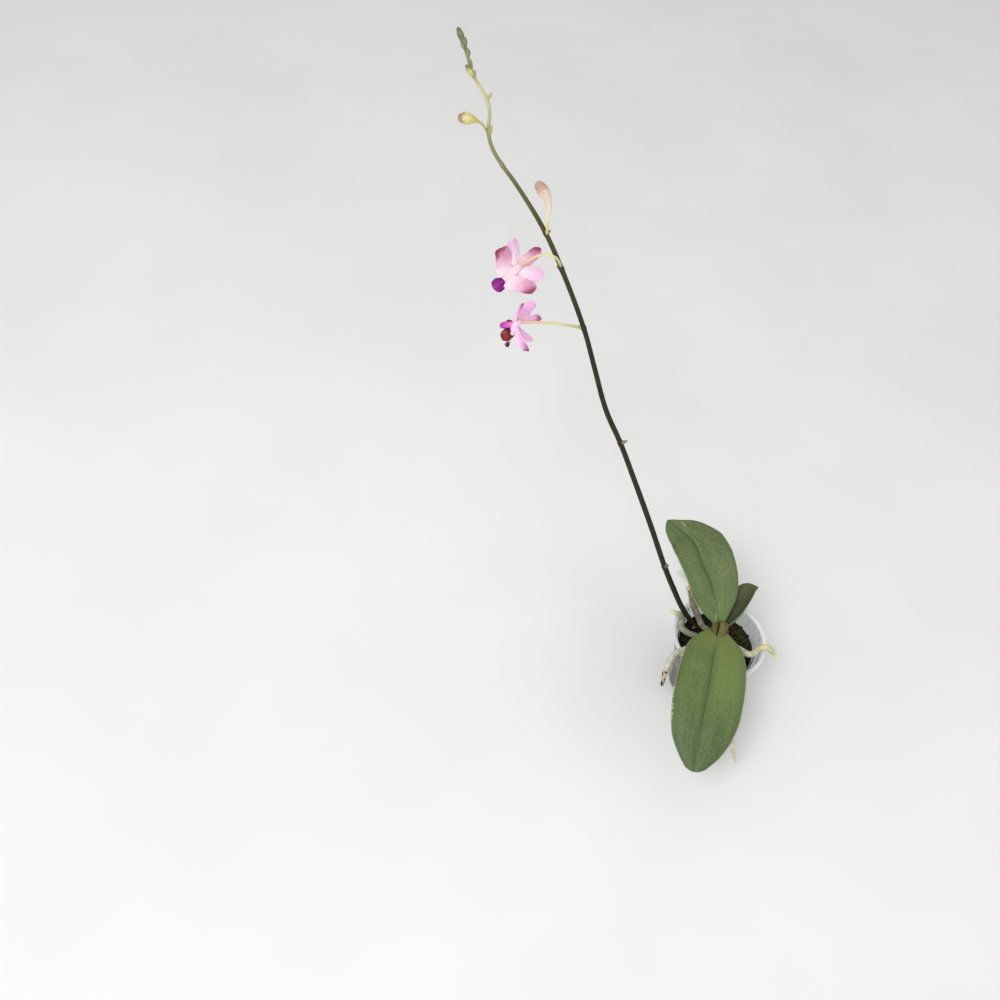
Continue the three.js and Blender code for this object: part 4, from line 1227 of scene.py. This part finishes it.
# The label: a plain strip cut from thin white plastic sheet, pushed into the
# bark and bent over to the left. It is blank, and a little soiled low down.
LABEL_THICK = 0.6
label_shape = dict(
    spine=[
        (6.4, 15.6, 30),
        (5, 18, 43),
        (1.4, 21.6, 53.4),
        (-8.6, 26.8, 63.4),
        (-19.4, 29.7, 71.8),
        (-30.2, 32.3, 80.2),
    ],
    face=(0.16, 0.95, -0.28),
    left=[1, 5, 6, 6, 6, 6, 6],
)
label_finish, tree, shader, place = start_material("label plastic")
height = axes(tree, place)[2]
smudges = use(
    tree, mottling, Place=place, Scale=240, Detail=5, First=tint(252, 252, 250), Second=tint(232, 232, 226)
)
soiled = calc(tree, "MULTIPLY", fade(tree, height, 62 * MM, 46 * MM), smudges["Mask"])
color = mixed(tree, soiled, smudges["Color"], tint(150, 132, 104))
finish(tree, shader, color, spread(tree, smudges["Mask"], 0.32, 0.46), smudges["Height"], 0.03)
label_form = blade(thick=LABEL_THICK, rows=70, half=8, tip=0.985, under=0, **label_shape)
build("label_strip", label_form, [label_finish], ["label"])

# The flower spike: one long wiry stalk that leans far out to the left, dark
# olive low down and pale at its tip. Small dry scale leaves clasp it at each
# joint, and unopened buds crowd the end.
SPIKE_RADIUS = 1.75
SPIKE_FOOT = (-8, 6)
SPIKE_LEAN = math.radians(150)


def on_spike(reach, z):
    """The place at a reach along the lean and a height."""
    return (
        SPIKE_FOOT[0] + math.cos(SPIKE_LEAN) * reach,
        SPIKE_FOOT[1] + math.sin(SPIKE_LEAN) * reach,
        z,
    )


spike_points = [
    (-3.2, 3.6, 41),
    on_spike(2, 44.4),
    on_spike(8, 49.2),
    (-20.2, 12, 53.7),
    (-26.1, 15.4, 60),
    on_spike(28.7, 69.2),
    on_spike(40.8, 86.7),
    on_spike(56.8, 113.1),
    on_spike(76.3, 144),
    on_spike(92.1, 167.9),
    on_spike(106.3, 186.9),
    on_spike(118.7, 211.2),
    on_spike(130.5, 234.6),
    on_spike(147.2, 260.4),
    on_spike(165.4, 283.9),
    on_spike(185.8, 302.1),
    on_spike(196, 309.3),
    on_spike(202.5, 315.3),
    on_spike(206.2, 322.8),
    on_spike(206.8, 335.4),
    on_spike(209.4, 341.2),
    on_spike(218.1, 349.6),
    on_spike(221.9, 356.3),
    on_spike(225.4, 363),
]
spike_taper = [0.91, 1.03, 1, 0.97, 0.91, 0.86, 0.8, 0.77, 0.66, 0.54, 0.46]
spike_radii = [share * SPIKE_RADIUS for share in spike_taper]
spike_joints = [
    (40.8, 86.7),
    (92.1, 167.9),
    (131, 235.5),
    (151, 265.6),
    (164.2, 282.3),
    (196, 309.3),
    (206.2, 322.8),
    (209.4, 341.2),
    (218.1, 349.6),
]

# Scale leaves: place, direction, length and half width
bracts = [
    (on_spike(7.4, 48.4), (-0.5, -0.8, 0.5), 5, 1.1),
    (on_spike(40.8, 86.7), (0.3, -0.3, 0.8), 4.6, 1.5),
    (on_spike(92.1, 167.9), (0.75, -0.1, 0.7), 5, 1.2),
    (on_spike(131, 235.5), (-0.8, 0, 0.3), 3.2, 1.1),
    (on_spike(151, 265.6), (-0.8, 0, 0.4), 3.2, 1.1),
    (on_spike(164.2, 282.3), (0.7, 0, 0.6), 3.4, 1.1),
    (on_spike(196, 309.3), (-0.3, -0.2, 0.4), 2.8, 1.1),
    (on_spike(206.2, 322.8), (0.3, 0, 0.9), 5, 1.1),
    (on_spike(209, 340.6), (0.5, 0, 0.8), 4.6, 1),
    (on_spike(218.1, 349.6), (0.2, 0, 0.9), 3, 1.1),
]
tip_buds = [
    (on_spike(219.6, 353), (-0.5, 0.2, 1), 5, 1.2),
    (on_spike(222, 357.6), (-0.15, 0, 1), 4.2, 1.1),
    (on_spike(223.4, 360.2), (-0.75, 0.3, 1), 5.2, 1.3),
    (on_spike(224.6, 361.4), (-0.1, 0.1, 1), 5, 1.3),
    (on_spike(225.4, 363), (-0.5, 0.2, 1), 8.1, 1.6),
]


def scale_leaf(at, direction, length, half_width):
    """A clasping scale: a swollen foot that narrows to a pointed dry tip."""
    heading = unit(np.array(direction, float))
    spots = [np.array(at) + heading * length * k for k in (0, 0.35, 0.7, 1)]
    return tube(spots, [k * half_width for k in (0.72, 1, 0.72, 0.22)], sides=14, steps=14)


def tip_bud(at, direction, length, half_width):
    """A tiny closed bud, blunt and faintly ridged."""
    heading = unit(np.array(direction, float))
    spots = [np.array(at) + heading * length * k for k in (0, 0.3, 0.65, 0.92)]
    radii = [k * half_width for k in (0.5, 0.86, 1, 0.62)]
    return tube(spots, radii, sides=16, steps=16, swell=lambda share, angle: 0.06 * math.cos(3 * angle))


def jointed(share, angle):
    """Swells the stalk a little where each scale leaf clasps it."""
    here = spike_path(share)
    swelling = 0.02 * math.cos(5 * angle + 40 * share)
    for reach, z in spike_joints:
        swelling += 0.2 * math.exp(-((np.linalg.norm(here - on_spike(reach, z)) / 1.2) ** 2))
    return swelling + 0.03 * noise.noise(Vector((60 * share, math.cos(angle), math.sin(angle))))


spike_path = curve_through(spike_points)
stalk_form = tube(spike_points, spike_radii, sides=20, steps=420, swell=jointed)
scale_form = join([scale_leaf(*bract) for bract in bracts])
tip_form = join([tip_bud(*bud) for bud in tip_buds])
for form, side in ((scale_form, 1), (tip_form, 2)):
    form["sides"] = [side] * len(form["faces"])


def graded(tree, value, stops):
    """A colour that changes through the stops as the value goes from 0 to 1."""
    ramp = put(tree, "ShaderNodeValToRGB", {0: value})
    ramp.color_ramp.interpolation = "EASE"
    while len(ramp.color_ramp.elements) < len(stops):
        ramp.color_ramp.elements.new(0.5)
    for element, (position, color) in zip(ramp.color_ramp.elements, stops):
        element.position = position
        element.color = color
    return ramp.outputs[0]


def stalk_material(name, stops, fleck, flecks):
    """Stalk skin: a colour by height, given in millimetres, with fine flecks."""
    made, tree, shader, place = start_material(name, Specular_IOR_Level=0.24)
    z = axes(tree, place)[2]
    waver = use(tree, mottling, Place=place, Scale=120)
    z = shifted(tree, z, waver["Height"], 14 * MM)
    low, high = stops[0][0], stops[-1][0]
    heights = {"Value": z, "From Min": low * MM, "From Max": high * MM}
    share = put(tree, "ShaderNodeMapRange", heights).outputs[0]
    color = graded(tree, share, [((height - low) / (high - low), color) for height, color in stops])
    streaks = use(tree, mottling, Place=place, Stretch=(1, 1, 0.25), Scale=1300, Sharpness=0.5)
    color = over(tree, color, streaks["Mask"], flecks, fleck)
    finish(tree, shader, color, spread(tree, streaks["Height"], 0.36, 0.6), streaks["Height"], 0.06)
    return made


spike_finish = stalk_material(
    "spike skin",
    [
        (48, tint(36, 30, 20)),
        (90, tint(28, 25, 14)),
        (150, tint(28, 30, 14)),
        (232, tint(26, 28, 10)),
        (258, tint(48, 48, 20)),
        (284, tint(68, 64, 26)),
        (302, tint(92, 94, 52)),
        (313, tint(134, 130, 88)),
        (341, tint(198, 194, 146)),
        (355, tint(168, 166, 126)),
        (367, tint(120, 122, 92)),
    ],
    fleck=tint(104, 100, 70),
    flecks=0.13,
)
dry_scale = stalk_material(
    "dry scale",
    [
        (48, tint(84, 68, 46)),
        (100, tint(86, 66, 46)),
        (168, tint(128, 102, 86)),
        (235, tint(80, 78, 44)),
        (300, tint(108, 106, 62)),
        (341, tint(188, 178, 118)),
        (360, tint(150, 140, 100)),
    ],
    fleck=tint(196, 182, 140),
    flecks=0.35,
)
tip_finish = stalk_material(
    "tip bud skin",
    [(352, tint(140, 138, 100)), (372, tint(94, 98, 70))],
    fleck=tint(176, 174, 136),
    flecks=0.4,
)
build(
    "flower_spike_stalk",
    join([stalk_form, scale_form, tip_form]),
    [spike_finish, dry_scale, tip_finish],
    ["flower_spike"],
)

# The flowers: five soft spreading tepals round a hollow chin, a fleshy lip
# with two upright side lobes and a tongue, and a short waxy column. The upper
# one nods and shows its back, the lower one is seen from its side.
TEPAL_THICK = 0.55
flowers = {
    "upper": dict(
        centre=(-162.6, 82, 262),
        facing=(-0.441, 0.284, -0.851),
        upward=(0.504, 0.863, 0.027),
        sepals=[
            dict(skin=0, azimuth=90, reflex=29, twist=0, length=17, width=6.6, tip=0.8,
                 shape=[0.62, 0.82, 0.95, 1, 1, 0.98, 0.9, 0.66]),
            dict(skin=0, azimuth=-21, reflex=25, twist=-30, length=15.8, width=8.8, tip=0.93,
                 shape=[1.36, 1.34, 1.24, 1.12, 1.04, 0.98, 0.92, 0.76]),
            dict(skin=0, azimuth=-162, reflex=19, twist=24, length=17, width=9.2, tip=0.92,
                 shape=[1.36, 1.34, 1.24, 1.1, 1, 0.88, 0.72, 0.42]),
        ],
        petals=[
            dict(skin=1, azimuth=21, reflex=25, twist=-15, length=16.2, width=6.8, tip=0.78,
                 shape=[0.5, 0.74, 0.9, 0.98, 1, 1, 0.96, 0.8]),
            dict(skin=1, azimuth=164, reflex=32, twist=30, length=15.4, width=8.8, tip=0.74,
                 shape=[0.5, 0.74, 0.9, 0.98, 1, 0.98, 0.9, 0.72]),
        ],
        lip=dict(drop=42, foot=9, reach=17.2, droop=0.2, dip=0.4, tongue=3.9, fold=0.2, bowl=0.3, blunt=0.66,
                 claw=0.75, sunk=1.3, tongue_shape=[0.4, 0.78, 0.98, 1, 0.94, 0.74], lobe=2,
                 lobes=[[(1.5, 0.6, 0.6), (2.3, 1.5, 1.8), (2.9, 1.9, 4.4)]] * 2),
        column=[(-0.2, 1), (0.1, 3.2), (0.3, 4.8), (0.1, 6.4), (-0.5, 8)],
        chin=[1.9, 2.2, 1.7],
        held=0.7,
        flush=0.1,
        pedicel=[
            on_spike(151, 266.2),
            (-142.1, 82, 271.6),
            (-145.6, 82, 273.2),
            (-149.9, 82, 272.9),
            (-154.5, 82, 270.5),
            (-158.5, 82, 266.8),
            (-161.3, 81.8, 264),
        ],
    ),
    "lower": dict(
        centre=(-159.1, 66, 237.4),
        facing=(-0.972, 0.074, -0.225),
        upward=(-0.131, 0.625, 0.769),
        sepals=[
            dict(skin=1, azimuth=90, reflex=43, twist=-42, length=15, width=8.6, tip=0.8,
                 shape=[0.7, 0.94, 1.04, 1.04, 0.98, 0.9, 0.8, 0.62]),
            dict(skin=0, azimuth=-74, reflex=27, twist=-30, length=17.8, width=7.6, tip=0.84,
                 shape=[0.8, 0.94, 1, 1, 0.96, 0.86, 0.7, 0.4]),
            dict(skin=1, azimuth=-128, reflex=32, twist=6, length=15, width=5.6, tip=0.84,
                 shape=[0.8, 0.94, 1, 1, 0.96, 0.86, 0.7, 0.4]),
        ],
        # Both petals wear the deeper skin, which on the petal seen edge-on is partly painted shade
        petals=[
            dict(skin=0, azimuth=43, reflex=23, twist=-2, length=16.2, width=5, tip=0.8,
                 shape=[0.4, 0.62, 0.84, 0.98, 1, 0.95, 0.8, 0.5]),
            dict(skin=0, azimuth=170, reflex=50, twist=38, length=15.9, width=6.6, tip=0.84,
                 shape=[0.4, 0.62, 0.84, 0.98, 1, 0.97, 0.82, 0.42]),
        ],
        lip=dict(drop=70, foot=4, reach=12.4, droop=2.1, dip=0, tongue=2.2, fold=0.75, bowl=0, blunt=0.9,
                 claw=1, sunk=0.2, tongue_shape=[0.4, 0.5, 0.5, 0.6, 1, 0.9], lobe=3.3,
                 lobes=[[(1.6, 0.8, 0.4), (-1.1, 2.4, 3.5), (-4.1, 2.5, 5.7)],
                        [(2.6, 0.8, 0.4), (3.6, 2.1, 2), (4.6, 2.6, 5.9)]]),
        column=[(-0.8, 1), (-1.2, 3.2), (-1.3, 4.8), (-1.4, 6.4), (-1.8, 8.4)],
        chin=[2.3, 2.6, 2.1],
        held=0.55,
        flush=0.4,
        pedicel=[
            on_spike(131, 235.6),
            (-128.7, 70.8, 236.4),
            (-136.7, 69.4, 237.6),
            (-145.1, 68, 238.1),
            (-152.3, 67, 238.2),
            (-157, 66.4, 238),
        ],
    ),
}


class Bloom:
    """A flower's own frame: to its side, up and forward from its centre."""

    def __init__(self, centre, facing, upward):
        self.centre = np.array(centre, float)
        self.forward = unit(np.array(facing, float))
        self.side = unit(np.cross(upward, self.forward))
        self.up = np.cross(self.forward, self.side)

    def direction(self, p):
        """A direction in the flower's frame, as one in the scene's."""
        return p[0] * self.side + p[1] * self.up + p[2] * self.forward

    def place(self, p):
        """A place in the flower's frame, as one in the scene's."""
        return self.centre + self.direction(p)


def in_lip(lip, p):
    """Along the lip's axis, across it and towards the column."""
    ahead, across, rise = p
    sine, cosine = math.sin(math.radians(lip["drop"])), math.cos(math.radians(lip["drop"]))
    return (across, rise * cosine - ahead * sine, ahead * cosine + rise * sine)


def tepal(bloom, start, seed, azimuth, reflex, twist, length, width, shape, tip, skin):
    """One sepal or petal. Its skin is 0 for the deeper colour and 1 for the paler."""
    turn, back, spin = (math.radians(a) for a in (azimuth, reflex, twist))
    heading = np.array(
        [math.cos(turn) * math.cos(back), math.sin(turn) * math.cos(back), -math.sin(back)]
    )
    face = np.array(Quaternion(Vector(heading), spin) @ Vector((0, 0, 1)))
    start = np.array(start, float)

    def spot(share, lift):
        return bloom.place(start + (heading * length - start) * share + face * lift)

    form = blade(
        [spot(0.04, 0.2), spot(0.35, 0.9), spot(0.7, 0.8), spot(1, 0)],
        bloom.direction(face),
        [share * width / 2 for share in shape],
        vee=0.16,
        roll=-0.12,
        thick=TEPAL_THICK,
        edge=0.36,
        rows=34,
        half=10,
        groove=-0.12,
        wave=0.45,
        seed=seed,
        tip=tip,
    )
    form["sides"] = [skin] * len(form["faces"])
    if azimuth < -90:
        form["corners"] = [(u, 1 - v) for u, v in form["corners"]]
    return form


def throat(bloom, lip, chin_radii):
    """The throat, and the pouched chin under it from which the lip hangs."""
    foot, sunk = lip["foot"], lip["sunk"]
    neck = [(0, 0.4, -1.6), (0, 0, 0.2), (0, -0.4, 1.2)]
    chin = [
        (0, -0.2, -0.6),
        in_lip(lip, (0.5 * foot, 0, sunk - 0.4)),
        in_lip(lip, (foot + 0.3, 0, 0.6 * sunk)),
    ]
    rise = bloom.direction(in_lip(lip, (0, 0, 1)))

    def pouch(share, angle):
        return 0.16 * math.cos(2 * angle) * (1 - share)

    return join(
        [
            tube([bloom.place(p) for p in neck], [1.7, 2.2, 1.6], sides=20, steps=12),
            tube(
                [bloom.place(p) for p in chin],
                chin_radii,
                sides=24,
                steps=24,
                swell=pouch,
                across=np.cross(rise, bloom.direction(chin[2])),
            ),
        ]
    )


def lip_form(bloom, lip):
    """The claw and tongue, then the two side lobes."""
    start = lip["foot"] + 0.5
    span = lip["reach"] - start

    def at(points):
        return [bloom.place(in_lip(lip, p)) for p in points]

    rise = bloom.direction(in_lip(lip, (0, 0, 1)))
    claw = tube(
        at([(start, 0, 0), (start + 0.25 * span, 0, 0.2), (start + 0.5 * span, 0, 0)]),
        [lip["claw"] * k for k in (1, 1.4, 0.9)],
        sides=16,
        steps=14,
    )
    tongue = blade(
        at(
            [
                (start + 0.1 * span, 0, 0),
                (start + 0.4 * span, 0, 0.3),
                (start + 0.75 * span, 0, 0.1),
                (lip["reach"], 0, -lip["dip"]),
                (lip["reach"] + lip["droop"], 0, -lip["dip"]),
            ]
        ),
        rise,
        [k * lip["tongue"] for k in lip["tongue_shape"]],
        vee=lip["fold"],
        roll=-lip["bowl"],
        thick=1,
        edge=0.5,
        rows=30,
        half=8,
        tip=lip["blunt"],
        under=0,
    )
    lobes = []
    for hand, route in zip((-1, 1), lip["lobes"]):
        lobes.append(
            blade(
                at([(start + ahead, hand * across, up) for ahead, across, up in route]),
                -hand * bloom.side,
                [k * lip["lobe"] for k in (0.5, 0.88, 1, 0.92, 0.6)],
                vee=0.14,
                thick=0.6,
                edge=0.35,
                rows=28,
                half=9,
                tip=0.7,
                under=0,
                seed=hand,
                wave=0.2,
            )
        )
    lobes = join(lobes)
    lobes["sides"] = [1] * len(lobes["faces"])
    return join([claw, tongue, lobes])


def tepal_material(name, pale, pink, deep, tip_share, tip_from=0.68, stripe=0.0, lean=0.0):
    """Petal tissue, palest at its foot, with fine veins and a deeper tip, which
    lean moves to the tip's outer corner."""
    made, tree, shader, place = start_material(
        name, Specular_IOR_Level=0.3, Subsurface_Weight=0.15, Subsurface_Scale=0.002
    )
    shader.inputs["Subsurface Radius"].default_value = (1.0, 0.5, 0.7)
    uv = surface_map(tree)
    lines = use(
        tree, blade_lines, Along_and_across=uv, Rib_width=0.12, Margin_width=0.12, Veins=9, Waver=2.5
    )
    tone = use(tree, mottling, Place=place, Scale=300)
    cells = use(tree, mottling, Place=place, Scale=2600, Detail=2)
    length = shifted(tree, lines["Along"], tone["Height"], 0.4)
    color = mixed(tree, fade(tree, length, 0.12, 0.75), pale, pink)
    color = over(tree, color, fade(tree, lines["Veins"], 0.55, 0.95), 0.05, deep)
    color = over(tree, color, lines["Rib"], stripe, deep)
    corner = shifted(tree, length, lines["Across"], lean)
    color = over(tree, color, fade(tree, corner, tip_from, 1.0), tip_share, deep)
    height = calc(tree, "MULTIPLY_ADD", lines["Veins"], 0.6, cells["Height"])
    finish(tree, shader, color, spread(tree, cells["Height"], 0.4, 0.66), height, 0.05)
    return made


def fleshy_material(name, foot, middle, end, rim, stops=(0.05, 0.45, 0.95)):
    """Waxy tissue of lip or column, from its foot to its end, with a darker rim."""
    made, tree, shader, place = start_material(
        name, Specular_IOR_Level=0.3, Coat_Weight=0.05, Coat_Roughness=0.3
    )
    uv = surface_map(tree)
    lines = use(tree, blade_lines, Along_and_across=uv, Margin_width=0.3, Veins=7, Waver=3)
    clouds = use(tree, mottling, Place=place, Scale=500)
    cells = use(tree, mottling, Place=place, Scale=2400, Detail=2)
    length = shifted(tree, lines["Along"], clouds["Height"], 0.3)
    color = graded(tree, length, list(zip(stops, (foot, middle, end))))
    color = over(tree, color, lines["Margin"], 0.8, rim)
    color = over(tree, color, lines["Veins"], 0.12, rim)
    finish(tree, shader, color, spread(tree, cells["Height"], 0.3, 0.6), cells["Height"], 0.06)
    return made


flower_finishes = {
    "upper": dict(
        sepal=tepal_material(
            "upper sepal",
            pale=tint(244, 214, 224),
            pink=tint(214, 150, 184),
            deep=tint(140, 46, 84),
            tip_share=0.95,
            tip_from=0.66,
            lean=0.4,
        ),
        petal=tepal_material(
            "upper petal",
            pale=tint(242, 216, 228),
            pink=tint(232, 194, 222),
            deep=tint(222, 160, 200),
            tip_share=0.3,
        ),
        lip=fleshy_material(
            "lip purple", tint(96, 18, 88), tint(132, 18, 128), tint(150, 28, 146), tint(112, 14, 104)
        ),
        lobe=fleshy_material(
            "lip purple lobe", tint(98, 18, 92), tint(134, 20, 130), tint(148, 30, 146), tint(114, 16, 108)
        ),
    ),
    "lower": dict(
        sepal=tepal_material(
            "lower sepal",
            pale=tint(252, 222, 240),
            pink=tint(244, 182, 230),
            deep=tint(132, 40, 88),
            tip_share=0.9,
            tip_from=0.6,
            stripe=0.25,
        ),
        petal=tepal_material(
            "lower petal",
            pale=tint(248, 200, 230),
            pink=tint(244, 186, 228),
            deep=tint(228, 158, 210),
            tip_share=0.3,
        ),
        lip=fleshy_material(
            "lip violet tip",
            tint(224, 184, 206),
            tint(242, 226, 232),
            tint(72, 14, 70),
            tint(150, 80, 140),
            stops=(0.1, 0.6, 0.74),
        ),
        lobe=fleshy_material(
            "lip brick red", tint(98, 22, 30), tint(138, 30, 18), tint(96, 12, 22), tint(56, 8, 32)
        ),
    ),
}
column_finish = fleshy_material(
    "column magenta", tint(230, 160, 214), tint(210, 92, 186), tint(192, 46, 168), tint(204, 80, 184)
)


def capped(share, angle):
    """The column's blunt cap, marked off by a shallow groove."""
    return -0.12 * math.exp(-(((share - 0.74) / 0.04) ** 2)) + 0.06 * max(0, math.cos(angle))


for which, flower in flowers.items():
    bloom = Bloom(flower["centre"], flower["facing"], flower["upward"])
    lip = flower["lip"]
    skins = flower_finishes[which]
    chin = in_lip(lip, (flower["held"] * lip["foot"], 0, -0.3))
    dorsal, *laterals = flower["sepals"]
    sepals = [tepal(bloom, (0, 0, 0), 1, **dorsal)]
    sepals += [tepal(bloom, chin, 2 + k, **shape) for k, shape in enumerate(laterals)]
    petals = [tepal(bloom, (0, 0, 0), 5 + k, **shape) for k, shape in enumerate(flower["petals"])]
    chin_form = throat(bloom, lip, flower["chin"])
    chin_form["sides"] = [0] * len(chin_form["faces"])
    chin_form["corners"] = [(flower["flush"], v) for u, v in chin_form["corners"]]
    build(
        f"flower_{which}_petals",
        join([*sepals, *petals, chin_form]),
        [skins["sepal"], skins["petal"]],
        [f"flower_{which}_tepals"],
    )
    build(
        f"flower_{which}_lip_lobes",
        lip_form(bloom, lip),
        [skins["lip"], skins["lobe"]],
        [f"flower_{which}_lip"],
    )
    spots = [bloom.place((0, rise, ahead)) for rise, ahead in flower["column"]]
    form = tube(spots, [1.7, 1.6, 1.8, 2, 1.6], sides=24, steps=40, swell=capped, across=bloom.up)
    build(f"flower_{which}_column_cap", form, [column_finish], [f"flower_{which}_column"])

# Flower stalks: slender and fleshy, yellow-green where they leave the spike,
# cream in the middle and flushed with peach where they join the flower.
PEDICEL_RADII = [1, 0.78, 0.76, 0.76, 0.8, 0.9, 1]
pedicel_colors = [
    (0.0, tint(128, 130, 74)),
    (0.14, tint(186, 186, 124)),
    (0.4, tint(222, 216, 164)),
    (0.7, tint(228, 196, 164)),
    (1.0, tint(228, 176, 172)),
]
pedicel_finish, tree, shader, place = start_material(
    "pedicel skin", Specular_IOR_Level=0.4, Coat_Weight=0.1
)
clouds = use(tree, mottling, Place=place, Scale=600, Detail=4)
color = graded(tree, axes(tree, surface_map(tree))[0], pedicel_colors)
color = over(tree, color, clouds["Mask"], 0.2, tint(184, 180, 120))
finish(tree, shader, color, spread(tree, clouds["Height"], 0.36, 0.62), clouds["Height"], 0.05)
for which, flower in flowers.items():
    form = tube(flower["pedicel"], PEDICEL_RADII, sides=18, steps=90, swell=ringed(50))
    build(f"flower_{which}_stalk", form, [pedicel_finish], [f"flower_{which}_pedicel"])

# Buds: closed flowers on short stalks, cream flushed with pink on the largest
# and yellow-green on the young ones near the tip.
buds = {
    "bud_upper": dict(
        points=[
            on_spike(163.2, 281.2),
            (-149.8, 87, 287),
            (-150.2, 86.5, 294),
            (-150.3, 86.5, 299.6),
            (-151.9, 86.5, 304.6),
            (-154.8, 86.5, 309),
            (-157.2, 86.5, 311.6),
        ],
        radii=[0.95, 0.78, 0.74, 0.76, 0.84, 1.05, 1.5, 2.2, 2.9, 3.2, 2.5],
        colors=[
            (0, tint(190, 188, 112)),
            (0.4, tint(230, 222, 170)),
            (0.64, tint(236, 216, 194)),
            (0.82, tint(228, 208, 188)),
            (1, tint(184, 152, 138)),
        ],
    ),
    "bud_left": dict(
        points=[
            on_spike(206.2, 322.8),
            (-190, 107.4, 328.6),
            (-193.4, 106, 331),
            (-197.6, 106, 331.6),
            (-201, 106, 331.3),
        ],
        radii=[0.8, 0.62, 0.55, 0.52, 0.54, 0.7, 1.25, 2.25, 3, 3, 2.3],
        colors=[
            (0, tint(140, 140, 84)),
            (0.35, tint(178, 174, 104)),
            (0.6, tint(190, 188, 96)),
            (0.82, tint(214, 206, 144)),
            (1, tint(164, 136, 116)),
        ],
    ),
    "bud_small": dict(
        points=[
            on_spike(217.6, 349.2),
            (-197.9, 113, 351.6),
            (-199.4, 113, 353.4),
            (-200.6, 113, 355.2),
        ],
        radii=[0.6, 1.1, 1.3, 0.8],
        colors=[(0, tint(156, 156, 84)), (0.6, tint(196, 196, 124)), (1, tint(120, 114, 78))],
    ),
}


def bud_material(name, stops):
    """Closed tepals: a colour along the bud, with painted shade in the seams between them."""
    made, tree, shader, place = start_material(name, Specular_IOR_Level=0.4, Coat_Weight=0.1)
    length, around = axes(tree, surface_map(tree))[:2]
    clouds = use(tree, mottling, Place=place, Scale=450, Detail=4)
    color = graded(tree, shifted(tree, length, clouds["Height"], 0.3), stops)
    seam = calc(tree, "PINGPONG", calc(tree, "MULTIPLY", around, 3), 0.5)
    # Painted shade in the seams between the closed tepals
    closed = calc(tree, "MULTIPLY", fade(tree, seam, 0.08, 0), fade(tree, length, 0.5, 0.75))
    color = over(tree, color, closed, 0.5, stops[-1][1])
    finish(tree, shader, color, spread(tree, clouds["Height"], 0.38, 0.64), clouds["Height"], 0.06)
    return made


def closed_tepals(share, angle):
    """Three shallow seams on the head, where the sepals meet."""
    head = min(1, max(0, (share - 0.5) / 0.2))
    return -0.09 * head * math.exp(-((math.remainder(angle, 2 * math.pi / 3) / 0.2) ** 2))


for name, bud in buds.items():
    form = tube(bud["points"], bud["radii"], sides=36, steps=90, swell=closed_tepals)
    build(f"{name}_head", form, [bud_material(f"{name} skin", bud["colors"])], [name])

# The setting: a plain pale floor, soft studio light from above, and a camera
# that looks down at the plant from the front left.
FLOOR_HALF = 3  # half of the floor's side, in metres
floor_mesh = bpy.data.meshes.new("floor")
floor_corners = [(x * FLOOR_HALF, y * FLOOR_HALF, 0) for x, y in ((-1, -1), (1, -1), (1, 1), (-1, 1))]
floor_mesh.from_pydata(floor_corners, [], [(0, 1, 2, 3)])
floor = bpy.data.objects.new("floor", floor_mesh)
bpy.context.scene.collection.objects.link(floor)
paper, tree, shader, place = start_material("pale paper", Specular_IOR_Level=0.2)
tone = use(tree, mottling, Place=place, Scale=4, First=tint(238, 238, 237), Second=tint(243, 243, 242))
finish(tree, shader, tone["Color"], spread(tree, tone["Mask"], 0.85, 0.95), tone["Height"], 0.01)
floor_mesh.materials.append(paper)

SKY_STRENGTH = 0.64
world = bpy.data.worlds.new("studio")
bpy.context.scene.world = world
world.use_nodes = True
sky = world.node_tree.nodes["Background"]
sky.inputs["Color"].default_value = (1, 1, 1, 1)
sky.inputs["Strength"].default_value = SKY_STRENGTH


def soft_light(name, place, target, size, power):
    """A round lamp at a place in metres, turned to a target, its power in watts."""
    data = bpy.data.lights.new(name, "AREA")
    data.shape = "DISK"
    data.size = size
    data.energy = power
    light = bpy.data.objects.new(name, data)
    light.location = place
    light.rotation_mode = "QUATERNION"
    light.rotation_quaternion = (Vector(target) - Vector(place)).to_track_quat("-Z", "Y")
    bpy.context.scene.collection.objects.link(light)


soft_light("key", (-0.6, -0.75, 1.35), (-0.06, 0, 0.12), 0.6, 9.6)
soft_light("fill", (1.2, -0.6, 1.1), (-0.05, 0, 0.15), 0.9, 2.5)
soft_light("front", (-0.5, -1.3, 0.45), (-0.06, 0, 0.12), 0.8, 2.2)

CAMERA_PLACE = (-154.69, -361.69, 596.76)
CAMERA_TILT = math.radians(39.77)
CAMERA_ROLL = math.radians(7.9)
SENSOR_WIDTH = 36
LENS = 35.64
camera_data = bpy.data.cameras.new("camera")
camera_data.sensor_width = SENSOR_WIDTH
camera_data.lens = LENS
camera_data.clip_start = 0.02
camera = bpy.data.objects.new("camera", camera_data)
camera.location = [c * MM for c in CAMERA_PLACE]
camera.rotation_mode = "QUATERNION"
camera.rotation_quaternion = Quaternion((1, 0, 0), CAMERA_TILT) @ Quaternion((0, 0, 1), CAMERA_ROLL)
bpy.context.scene.collection.objects.link(camera)
bpy.context.scene.camera = camera
bpy.context.scene.view_settings.view_transform = "Standard"
